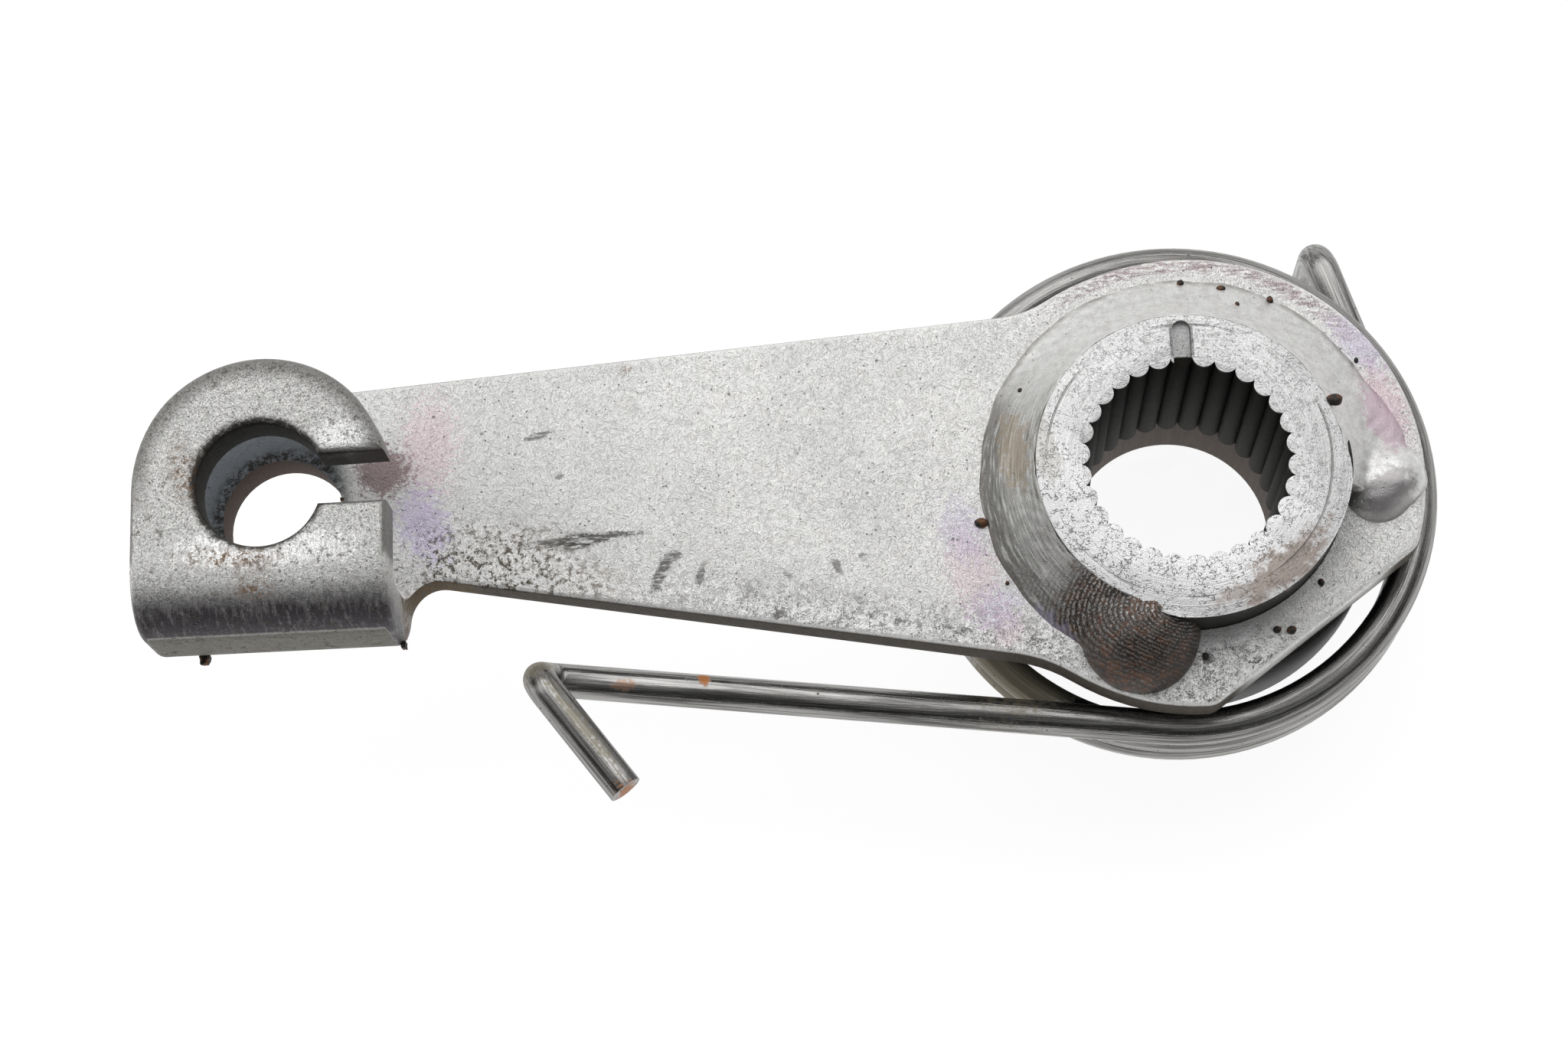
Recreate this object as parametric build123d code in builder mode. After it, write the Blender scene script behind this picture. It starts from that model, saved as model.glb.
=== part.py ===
"""Differential lock lever: a pressed arm welded to a splined boss, with its return spring.

The boss's bore axis is Z and its rear face is Z = 0. The arm points along -X, and +Z points
out of the boss's marked front face, on the side where the cable eye is folded over.
"""
from build123d import *
from math import cos, radians, sin, tan
import os

os.makedirs("parts", exist_ok=True)

# Boss, turned from bar
boss_length = 19.6
spigot_radius = 10.65
spigot_stand = 3.3
collar_radius = 13.6
tail_radius = 10.65
tail_length = 5.1
turned_chamfer = 0.4

# Serrated bore: sharp grooves with rounded lands between them, relieved at the rear
groove_count = 30
groove_radius = 7.0
land_radius = 6.45
first_groove_angle = 0.0
serration_length = 14.0
relief_clearance = 0.05

# Index mark across the front face
index_angle = 89.2
index_width = 1.2
index_reach = 9.6
index_depth = 0.9

# Pressed arm
sheet = 3.0
plate_fit = 0.05
hub_ledge = 1.8
hub_flat_ledge = 2.25
hub_flat_angle = -54.4
hub_corner_radius = 1.6
arm_reach = 60.2
upper_edge_angle = 4.25
upper_edge_offset = 8.1
lower_edge_angle = -10.27
lower_edge_offset = 4.4
upper_blend_radius = 6.0
lower_blend_radius = 9.0
pressed_edge_radius = 0.4

# Cable eye, folded over to make two ears
eye_rim_radius = 8.25
eye_hole_radius = 4.1
ear_gap = 5.5
fold_line = -5.1
bend_inner_radius = 1.2
notch_radius = 2.1
cable_slot_width = 3.0
ear_edge_radius = 0.6

# Weld between the boss and the arm
weld_leg = 3.05
weld_face_melt = 0.7
weld_side_melt = 1.2
weld_hollow = 0.3
weld_start_angle = -10.0
weld_end_angle = 262.0
crater_angle = 251.0
crater_radius = 4.0
crater_offset = 0.55
crater_rise = 0.1
pool_angle = -8.0
pool_radius = 2.6
pool_offset = 2.25
pool_rise = 1.5

# Return spring
wire_radius = 1.25
coil_clearance = 1.35
coil_pitch = 2.6
full_turns = 2
spring_end_play = 0.35
long_leg_heading = 172.95
short_leg_heading = 106.2
short_leg_length = 14.9
short_end_depth = 8.0
wire_bend_radius = 1.6
hook_stand_off = 8.6897
hook_rise = 3.2
hook_heading = -53.5
hook_sag = (-0.3, -0.65)
hook_length = 9.6

# Levels along the bore, from the boss's rear face
plate_front = boss_length - spigot_stand
plate_rear = plate_front - sheet
ear_back = plate_front + ear_gap
ear_front = ear_back + sheet
bend_outer_radius = bend_inner_radius + sheet
web_outside = fold_line - bend_outer_radius
relief_radius = groove_radius + relief_clearance
relief_length = boss_length - serration_length

# The plate and the weld follow the spigot they are fitted to
weld_toe_radius = spigot_radius + weld_leg
hub_radius = weld_toe_radius + hub_ledge
hub_flat_distance = spigot_radius + hub_flat_ledge


def polar(radius, angle):
    """A point in the XY plane, from a radius and an angle in degrees."""
    return Vector(radius * cos(radians(angle)), radius * sin(radians(angle)), 0)


def section_plane(angle):
    """The half plane that holds the bore axis, turned by an angle from +X."""
    return Plane(origin=(0, 0, 0), x_dir=polar(1, angle), z_dir=polar(1, angle - 90))


weld_arc = weld_end_angle - weld_start_angle

# Turned boss with its serrated bore
with BuildPart() as splined_boss:
    with BuildSketch(Plane.XZ):
        with BuildLine():
            Polyline(
                (0, 0),
                (tail_radius - turned_chamfer, 0),
                (tail_radius, turned_chamfer),
                (tail_radius, tail_length),
                (collar_radius - turned_chamfer, tail_length),
                (collar_radius, tail_length + turned_chamfer),
                (collar_radius, plate_rear),
                (spigot_radius, plate_rear),
                (spigot_radius, boss_length),
                (0, boss_length),
                close=True,
            )
        make_face()
    revolve(axis=Axis.Z)
    # Corner that the weld melted away
    with BuildSketch(section_plane(weld_start_angle)):
        with BuildLine():
            Polyline(
                (spigot_radius - weld_face_melt, boss_length),
                (spigot_radius, boss_length - weld_side_melt),
                (spigot_radius, boss_length),
                close=True,
            )
        make_face()
    revolve(axis=Axis.Z, revolution_arc=weld_arc, mode=Mode.SUBTRACT)
    # Serration: each land is one arc from groove to groove
    groove_step = 360 / groove_count
    with BuildSketch(Plane.XY.offset(relief_length)):
        with BuildLine():
            for groove in range(groove_count):
                angle = first_groove_angle + groove * groove_step
                ThreePointArc(
                    polar(groove_radius, angle),
                    polar(land_radius, angle + groove_step / 2),
                    polar(groove_radius, angle + groove_step),
                )
        make_face()
    extrude(amount=serration_length, mode=Mode.SUBTRACT)
    with BuildSketch():
        Circle(relief_radius)
    extrude(amount=relief_length, mode=Mode.SUBTRACT)
    # Index mark, a round-ended slot from the bore outwards
    with BuildSketch(Plane.XY.offset(boss_length)):
        with Locations(polar(index_reach - index_width / 2, index_angle)):
            Circle(index_width / 2)
        with Locations(polar((index_reach - index_width / 2) / 2, index_angle)):
            Rectangle(index_reach - index_width / 2, index_width, rotation=index_angle)
    extrude(amount=-index_depth, mode=Mode.SUBTRACT)
splined_boss.part.label = "splined_boss"
export_step(splined_boss.part, "parts/splined_boss.step")

# Pressed arm: hub plate, tapered arm, and the eye folded over from its lower edge
eye = Vector(-arm_reach, 0)
ear_left = -arm_reach - eye_rim_radius
ear_right = -arm_reach + eye_rim_radius
upper_start = eye + polar(upper_edge_offset, 90 + upper_edge_angle)
upper_end = upper_start + polar(arm_reach, upper_edge_angle)
lower_start = Vector(ear_right, -lower_edge_offset)
lower_end = lower_start + polar(arm_reach - eye_rim_radius, lower_edge_angle)
notch_drop = notch_radius * (1 / cos(radians(lower_edge_angle)) - tan(radians(lower_edge_angle)))
notch_center = lower_start + Vector(notch_radius, -notch_drop)
notch_meet = notch_center + polar(notch_radius, 90 + lower_edge_angle)
with BuildPart() as lever_arm:
    with BuildSketch(Plane.XY.offset(plate_rear)) as plate_outline:
        Circle(hub_radius)
        with BuildLine():
            Polyline(
                upper_start,
                upper_end,
                lower_end,
                notch_meet,
                (notch_meet.X, fold_line),
                (ear_left, fold_line),
                (ear_left, 0),
                close=True,
            )
        make_face()
        with Locations(eye):
            Circle(eye_rim_radius)
        with Locations((eye.X, fold_line)):
            Rectangle(
                2 * eye_rim_radius,
                eye_rim_radius,
                align=(Align.CENTER, Align.MAX),
                mode=Mode.SUBTRACT,
            )
        fillet(plate_outline.vertices().sort_by_distance((-10, 12)).first, upper_blend_radius)
        fillet(plate_outline.vertices().sort_by_distance((-8, -13)).first, lower_blend_radius)
        with Locations(polar(hub_flat_distance + hub_radius / 2, hub_flat_angle)):
            Rectangle(hub_radius, 2 * hub_radius, rotation=hub_flat_angle, mode=Mode.SUBTRACT)
        flat_ends = plate_outline.vertices().filter_by(lambda v: v.X > -1 and v.Y < -1)
        fillet(flat_ends, hub_corner_radius)
    extrude(amount=sheet)
    front_outline = lever_arm.faces().sort_by(Axis.Z).last.edges()
    fillet(front_outline.filter_by(lambda edge: edge.center().X > ear_right), pressed_edge_radius)
    # Fold that carries the front ear
    with BuildSketch(Plane.YZ.offset(ear_left)):
        with BuildLine():
            outside = FilletPolyline(
                (0, plate_rear),
                (web_outside, plate_rear),
                (web_outside, ear_front),
                (0, ear_front),
                radius=bend_outer_radius,
            )
            inside = FilletPolyline(
                (0, ear_back),
                (web_outside + sheet, ear_back),
                (web_outside + sheet, plate_front),
                (0, plate_front),
                radius=bend_inner_radius,
            )
            Line(outside @ 1, inside @ 0)
            Line(inside @ 1, outside @ 0)
        make_face()
    extrude(amount=ear_right - ear_left)
    # Root of the fold beside the arm, with the relief notch
    with BuildSketch(Plane.YZ.offset(ear_right)):
        with Locations((fold_line, plate_front + bend_inner_radius)):
            Circle(bend_outer_radius)
            Circle(bend_inner_radius, mode=Mode.SUBTRACT)
        with Locations((fold_line, plate_front + bend_inner_radius)):
            Rectangle(
                bend_outer_radius,
                bend_outer_radius,
                align=(Align.MAX, Align.MAX),
                mode=Mode.INTERSECT,
            )
    extrude(amount=notch_radius)
    with BuildSketch(Plane.XY.offset(plate_rear)):
        with Locations(notch_center):
            Circle(notch_radius)
        with Locations((ear_right, notch_center.Y)):
            Rectangle(2 * notch_radius, bend_outer_radius, align=(Align.MIN, Align.MAX))
    extrude(amount=ear_gap + 2 * sheet, mode=Mode.SUBTRACT)
    # Front ear
    with BuildSketch(Plane.XY.offset(ear_back)):
        with Locations(eye):
            Circle(eye_rim_radius)
            Rectangle(2 * eye_rim_radius, eye_rim_radius, align=(Align.CENTER, Align.MAX))
        with Locations((eye.X, fold_line)):
            Rectangle(
                2 * eye_rim_radius,
                eye_rim_radius,
                align=(Align.CENTER, Align.MAX),
                mode=Mode.SUBTRACT,
            )
    extrude(amount=sheet)
    # Slot that lets the cable into the front ear's hole
    with BuildSketch(Plane.XY.offset(ear_back)):
        with Locations(eye):
            Rectangle(
                2 * eye_rim_radius, cable_slot_width, align=(Align.MIN, Align.CENTER)
            )
    extrude(amount=sheet, mode=Mode.SUBTRACT)
    with BuildSketch(Plane.XY.offset(plate_rear)):
        with Locations(eye):
            Circle(eye_hole_radius)
        Circle(spigot_radius + plate_fit)
    extrude(amount=ear_front - plate_rear, mode=Mode.SUBTRACT)
    ear_outline = lever_arm.faces().sort_by(Axis.Z).last.edges()
    fillet(ear_outline.filter_by(lambda edge: edge.center().Y > fold_line + 0.1), ear_edge_radius)
lever_arm.part.label = "lever_arm"
export_step(lever_arm.part, "parts/lever_arm.step")

# Weld bead: hollow fillet with a starting pool at one end and a crater at the other
with BuildPart() as weld_bead:
    with BuildSketch(section_plane(weld_start_angle)):
        toe = Vector(weld_toe_radius, plate_front)
        face_edge = Vector(spigot_radius - weld_face_melt, boss_length)
        root = Vector(spigot_radius - weld_face_melt, plate_front)
        middle = (toe + face_edge) / 2
        with BuildLine():
            ThreePointArc(toe, middle + (root - middle).normalized() * weld_hollow, face_edge)
            Polyline(face_edge, root, toe)
        make_face()
    revolve(axis=Axis.Z, revolution_arc=weld_arc)
    crater_top = Vector(0, 0, boss_length + crater_rise - crater_radius)
    with Locations(polar(spigot_radius + crater_offset, crater_angle) + crater_top):
        Sphere(crater_radius, rotation=(90, 0, 0))
    pool_top = Vector(0, 0, plate_front + pool_rise - pool_radius)
    with Locations(polar(spigot_radius + pool_offset, pool_angle) + pool_top):
        Sphere(pool_radius, rotation=(90, 0, 0))
    add(splined_boss.part, mode=Mode.SUBTRACT)
    with Locations((0, 0, plate_front)):
        Box(
            4 * hub_radius,
            4 * hub_radius,
            2 * hub_radius,
            align=(Align.CENTER, Align.CENTER, Align.MAX),
            mode=Mode.SUBTRACT,
        )
weld_bead.part.label = "weld_bead"
export_step(weld_bead.part, "parts/weld_bead.step")

# Return spring: one wire, coiled round the collar, with a hooked long leg and a short end
coil_radius = collar_radius + coil_clearance + wire_radius
coil_front = plate_rear - spring_end_play - wire_radius
long_leg_angle = long_leg_heading + 90
short_leg_angle = short_leg_heading - 90 + 360
coil_turns = full_turns + (short_leg_angle - long_leg_angle) / 360
coil_height = coil_turns * coil_pitch
with BuildPart() as return_spring:
    with BuildLine() as wire_line:
        coil_rear = (0, 0, coil_front - coil_height)
        winding = Helix(
            coil_pitch, coil_height, coil_radius, coil_rear, lefthand=True, mode=Mode.PRIVATE
        )
        coil = winding.rotate(Axis.Z, short_leg_angle)
        add(coil)
        long_leg_length = (ear_right + hook_stand_off - (coil @ 1).X) / (coil % 1).X
        long_corner = coil @ 1 + (coil % 1) * long_leg_length
        hook_corner = long_corner + Vector(*hook_sag, hook_rise)
        hook_tip = hook_corner + polar(hook_length, hook_heading)
        FilletPolyline(coil @ 1, long_corner, hook_corner, hook_tip, radius=wire_bend_radius)
        short_corner = coil @ 0 - (coil % 0) * short_leg_length
        short_tip = short_corner - Vector(0, 0, short_end_depth)
        FilletPolyline(coil @ 0, short_corner, short_tip, radius=wire_bend_radius)
    with BuildSketch(Plane(origin=coil @ 1, z_dir=coil % 1)):
        Circle(wire_radius)
    sweep(path=wire_line.wires()[0])
return_spring.part.label = "return_spring"
export_step(return_spring.part, "parts/return_spring.step")
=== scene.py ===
"""Differential lock lever: finishes for its sheet, boss, weld and spring, and its small stand."""

import logging
from dataclasses import dataclass, field
from enum import Enum
from functools import reduce
from math import atan2, cos, degrees, hypot, pi, radians, sin, tan, tau
from typing import Any, Callable, Sequence, Union

import bpy
import numpy as np
from mathutils import Matrix, Vector, noise


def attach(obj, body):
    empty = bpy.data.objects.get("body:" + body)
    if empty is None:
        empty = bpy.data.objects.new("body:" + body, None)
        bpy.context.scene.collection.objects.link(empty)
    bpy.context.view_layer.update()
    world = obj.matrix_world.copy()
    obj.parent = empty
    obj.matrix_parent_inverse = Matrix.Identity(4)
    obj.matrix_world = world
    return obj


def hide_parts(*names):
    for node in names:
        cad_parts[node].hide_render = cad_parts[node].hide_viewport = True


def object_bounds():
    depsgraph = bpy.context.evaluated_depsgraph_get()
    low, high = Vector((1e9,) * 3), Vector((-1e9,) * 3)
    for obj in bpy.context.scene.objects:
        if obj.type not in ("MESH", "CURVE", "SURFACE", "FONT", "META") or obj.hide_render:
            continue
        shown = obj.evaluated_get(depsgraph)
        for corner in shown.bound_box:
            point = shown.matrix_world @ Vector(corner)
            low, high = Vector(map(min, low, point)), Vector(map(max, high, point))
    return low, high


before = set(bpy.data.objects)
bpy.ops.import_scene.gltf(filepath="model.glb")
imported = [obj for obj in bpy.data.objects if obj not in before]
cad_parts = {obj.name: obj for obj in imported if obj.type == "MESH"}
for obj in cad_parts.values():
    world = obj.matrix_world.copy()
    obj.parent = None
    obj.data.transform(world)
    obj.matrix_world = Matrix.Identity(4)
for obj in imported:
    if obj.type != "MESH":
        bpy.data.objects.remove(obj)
cad_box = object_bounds()

MM = 0.001
log = logging.getLogger("lever")

# Sizes that pieces and finishes share, in millimetres and degrees
EYE_REACH = 60.2
PLATE_FACE = 16.3
BOSS_FACE = 19.6
WELD_START = -10.0
WELD_END = 262.0

# How near points are merged, and how flat faces are joined, in millimetres and degrees
MERGE = 0.002
FLAT_WITHIN = 0.5

Colour = tuple[float, float, float]
Point = tuple[float, float, float]


class Body(Enum):
    """The two bodies that pieces ride on."""

    LEVER = "lever"
    SPRING = "spring"


class Slot(Enum):
    """The record's material slots."""

    SHEET = "plated_sheet"
    STEEL = "turned_steel"
    WELD = "weld_metal"
    WIRE = "spring_wire"


class Side(Enum):
    """Which end of a smooth step is one."""

    ABOVE = "above"
    BELOW = "below"


# --- shader maths ---------------------------------------------------------------------------


class Field:
    """A shader socket that Python's arithmetic works on, one Math node for each operation."""

    def __init__(self, graph: "Graph", socket: bpy.types.NodeSocket) -> None:
        """Keeps the graph that the socket is in."""
        self.graph = graph
        self.socket = socket

    def _math(self, operation: str, *values: "Value") -> "Field":
        """Adds one Math node."""
        made = self.graph.node("Math", {"operation": operation}, dict(enumerate(values)))
        return Field(self.graph, made.outputs[0])

    @staticmethod
    def _operator(operation: str, swapped: bool = False) -> Callable[["Field", "Value"], "Field"]:
        """Makes the method behind one of Python's operators.

        Args:
            operation: The Math node's operation.
            swapped: Whether the other value comes first.

        Returns:
            The method.
        """

        def act(this: "Field", other: "Value") -> "Field":
            """Joins this and another by the operation."""
            return this._math(operation, *((other, this) if swapped else (this, other)))

        return act

    __add__ = _operator("ADD")
    __radd__ = _operator("ADD", True)
    __sub__ = _operator("SUBTRACT")
    __rsub__ = _operator("SUBTRACT", True)
    __mul__ = _operator("MULTIPLY")
    __truediv__ = _operator("DIVIDE")

    # The smaller, and the larger, of this and another
    least = _operator("MINIMUM")
    most = _operator("MAXIMUM")

    def __abs__(self) -> "Field":
        """This without its sign."""
        return self._math("ABSOLUTE", self)

    def sine(self) -> "Field":
        """The sine of this."""
        return self._math("SINE", self)

    def root(self) -> "Field":
        """The square root of this."""
        return self._math("SQRT", self)

    def over(self, low: float, high: float) -> "Field":
        """Nought below low, one above high, and smooth between them."""
        return self.graph.step(self, low, high, Side.ABOVE)

    def under(self, low: float, high: float) -> "Field":
        """One below low, nought above high, and smooth between them."""
        return self.graph.step(self, low, high, Side.BELOW)

    def within(self, low: float, rise: float, fall: float, high: float) -> "Field":
        """One between rise and fall, nought outside low and high, and smooth between them."""
        return self.over(low, rise) * self.under(fall, high)


Value = Union[float, int, Field]


@dataclass(frozen=True)
class Mark:
    """A patch of tint, dirt or wear on a surface.

    Attributes:
        at: Its centre, in millimetres.
        reach: Its half sizes along its own axes, in millimetres.
        turn: Its turn about Z, in degrees.
        strength: How much of it shows, up to one.
        ragged: How far its edge is broken up, as a share of its reach.
    """

    at: Point
    reach: Point
    turn: float = 0.0
    strength: float = 1.0
    ragged: float = 0.6


class Graph:
    """The node tree of one material, or of the world."""

    def __init__(self, owner: Union[bpy.types.Material, bpy.types.World]) -> None:
        """Empties the owner's node tree.

        Args:
            owner: The material or the world.
        """
        self.owner = owner
        owner.use_nodes = True
        self.tree = owner.node_tree
        self.tree.nodes.clear()
        self._place: Field | None = None

    def node(
        self,
        kind: str,
        settings: dict[str, Any] | None = None,
        sockets: dict[Union[str, int], Any] | None = None,
    ) -> bpy.types.Node:
        """Adds any node.

        Args:
            kind: The node's type, without its ShaderNode prefix.
            settings: Properties, which are set first; stops are a ramp's positions and colours.
            sockets: Values or links for its inputs, by identifier, name or number.

        Returns:
            The node.
        """
        made = self.tree.nodes.new("ShaderNode" + kind)
        for name, value in (settings or {}).items():
            if name == "stops":
                self._set_stops(made.color_ramp, value)
            else:
                setattr(made, name, value)
        for key, value in (sockets or {}).items():
            self._feed(self._find(made.inputs, key), value)
        return made

    @staticmethod
    def _set_stops(ramp: bpy.types.ColorRamp, stops: Sequence[tuple[float, Colour]]) -> None:
        """Sets a ramp's stops.

        Args:
            ramp: The ramp.
            stops: Positions and colours, from low to high.
        """
        while len(ramp.elements) < len(stops):
            ramp.elements.new(0.5)
        for element, (position, colour) in zip(ramp.elements, stops):
            element.position = position
            element.color = (*colour, 1.0)

    @staticmethod
    def _find(sockets: Any, key: Union[str, int]) -> bpy.types.NodeSocket:
        """A socket by its identifier, name or number."""
        if isinstance(key, int):
            return sockets[key]
        named = [s for s in sockets if s.identifier == key] or [s for s in sockets if s.name == key]
        return named[0]

    def _feed(self, socket: bpy.types.NodeSocket, value: Any) -> None:
        """Links a socket or sets its value.

        Args:
            socket: An input socket.
            value: A field, an output socket, a number or a tuple.
        """
        if isinstance(value, Field):
            self.tree.links.new(value.socket, socket)
        elif isinstance(value, bpy.types.NodeSocket):
            self.tree.links.new(value, socket)
        elif socket.type == "RGBA" and len(value) == 3:
            socket.default_value = (*value, 1.0)
        else:
            socket.default_value = value

    def place(self) -> Field:
        """The piece's own coordinates, in millimetres."""
        if self._place is None:
            own = self.node("TexCoord").outputs["Object"]
            scaled = self.node("Mapping", None, {"Vector": own, "Scale": (1 / MM,) * 3})
            self._place = Field(self, scaled.outputs["Vector"])
        return self._place

    def split(self, vector: Field) -> tuple[Field, Field, Field]:
        """A vector's three parts."""
        parts = self.node("SeparateXYZ", None, {"Vector": vector}).outputs
        return Field(self, parts[0]), Field(self, parts[1]), Field(self, parts[2])

    def join(self, x: Value, y: Value, z: Value) -> Field:
        """A vector from its three parts."""
        made = self.node("CombineXYZ", None, {"X": x, "Y": y, "Z": z})
        return Field(self, made.outputs["Vector"])

    def normal(self) -> Field:
        """The surface's direction in the piece's own axes."""
        return Field(self, self.node("TexCoord").outputs["Normal"])

    def attribute(self, name: str) -> Field:
        """A number that the mesh carries at each vertex."""
        made = self.node("Attribute", {"attribute_name": name})
        return Field(self, made.outputs["Fac"])

    def stretch(self, vector: Field, scale: Point, turn: float = 0.0) -> Field:
        """A vector scaled and turned about Z, for a pattern with a direction.

        Args:
            vector: The coordinates.
            scale: Scales along the turned axes.
            turn: The turn, in degrees.

        Returns:
            The new coordinates.
        """
        turned = self.node("Mapping", None, {"Vector": vector, "Rotation": (0, 0, radians(turn))})
        sized = self.node("Mapping", None, {"Vector": turned.outputs[0], "Scale": scale})
        return Field(self, sized.outputs["Vector"])

    def step(self, value: Field, low: float, high: float, side: Side) -> Field:
        """A smooth step.

        Args:
            value: What is stepped.
            low: Where it starts.
            high: Where it ends.
            side: Which side of the step is one.

        Returns:
            A field from nought to one.
        """
        ends = (0.0, 1.0) if side is Side.ABOVE else (1.0, 0.0)
        made = self.node(
            "MapRange",
            {"interpolation_type": "SMOOTHSTEP"},
            {"Value": value, 1: low, 2: high, 3: ends[0], 4: ends[1]},
        )
        return Field(self, made.outputs["Result"])

    def cloud(
        self, vector: Field, scale: float, detail: float = 2.0, rough: float = 0.55
    ) -> Field:
        """Soft noise from nought to one."""
        made = self.node(
            "TexNoise",
            {"noise_dimensions": "3D"},
            {"Vector": vector, "Scale": scale, "Detail": detail, "Roughness": rough},
        )
        return Field(self, made.outputs[0])

    def cells(self, vector: Field, scale: float) -> tuple[Field, Field]:
        """Scattered cells.

        Args:
            vector: The coordinates.
            scale: Cells per unit.

        Returns:
            The distance to each cell's middle, and a number that each cell has at random.
        """
        made = self.node("TexVoronoi", None, {"Vector": vector, "Scale": scale})
        chance = self.node("SeparateColor", None, {"Color": made.outputs["Color"]})
        return Field(self, made.outputs["Distance"]), Field(self, chance.outputs[0])

    def cracks(self, vector: Field, scale: float) -> Field:
        """The distance to the nearest border of scattered cells."""
        made = self.node(
            "TexVoronoi", {"feature": "DISTANCE_TO_EDGE"}, {"Vector": vector, "Scale": scale}
        )
        return Field(self, made.outputs["Distance"])

    def patch(self, mark: Mark, ragged: Field) -> Field:
        """How much of a mark shows at a place.

        Args:
            mark: The mark.
            ragged: Noise about a half, which breaks its edge.

        Returns:
            A field from nought to the mark's strength.
        """
        near = self.node(
            "Mapping",
            {"vector_type": "TEXTURE"},
            {
                "Vector": self.place(),
                "Location": mark.at,
                "Rotation": (0, 0, radians(mark.turn)),
                "Scale": mark.reach,
            },
        )
        away = self.node("VectorMath", {"operation": "LENGTH"}, {0: near.outputs[0]})
        reach = Field(self, away.outputs["Value"]) + (ragged - 0.5) * (2 * mark.ragged)
        return reach.under(0.55, 1.0) * mark.strength

    def patches(self, marks: Sequence[Mark], ragged: Field) -> Field:
        """How much of any of some marks shows at a place."""
        return reduce(Field.most, (self.patch(mark, ragged) for mark in marks))

    def radius(self, x: Field, y: Field) -> Field:
        """The distance from the Z axis."""
        return (x * x + y * y).root()

    def tint(self, share: Value, below: Any, above: Any) -> Field:
        """One colour laid over another."""
        made = self.node(
            "Mix",
            {"data_type": "RGBA", "clamp_factor": True},
            {"Factor_Float": share, "A_Color": below, "B_Color": above},
        )
        return Field(self, self._find(made.outputs, "Result_Color"))

    def shade(self, colour: Any, light: Field) -> Field:
        """A colour made lighter or darker."""
        made = self.node(
            "VectorMath", {"operation": "SCALE"}, {"Vector": colour, "Scale": light}
        )
        return Field(self, made.outputs["Vector"])

    def bump(self, height: Field, depth: float) -> Field:
        """A normal from a height."""
        made = self.node("Bump", None, {"Height": height, "Distance": depth * MM, "Strength": 1.0})
        return Field(self, made.outputs["Normal"])

    def metal(self, colour: Any, rough: Any, metallic: Any, normal: Any) -> bpy.types.Material:
        """Ends the graph in one metal surface.

        Args:
            colour: The base colour.
            rough: The roughness.
            metallic: How much of the surface is bare metal.
            normal: The bumped normal.

        Returns:
            The material.
        """
        shader = self.node(
            "BsdfPrincipled",
            None,
            {"Base Color": colour, "Roughness": rough, "Metallic": metallic, "Normal": normal},
        )
        self.node("OutputMaterial", None, {"Surface": shader.outputs[0]})
        return self.owner


# --- finishes -------------------------------------------------------------------------------


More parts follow.
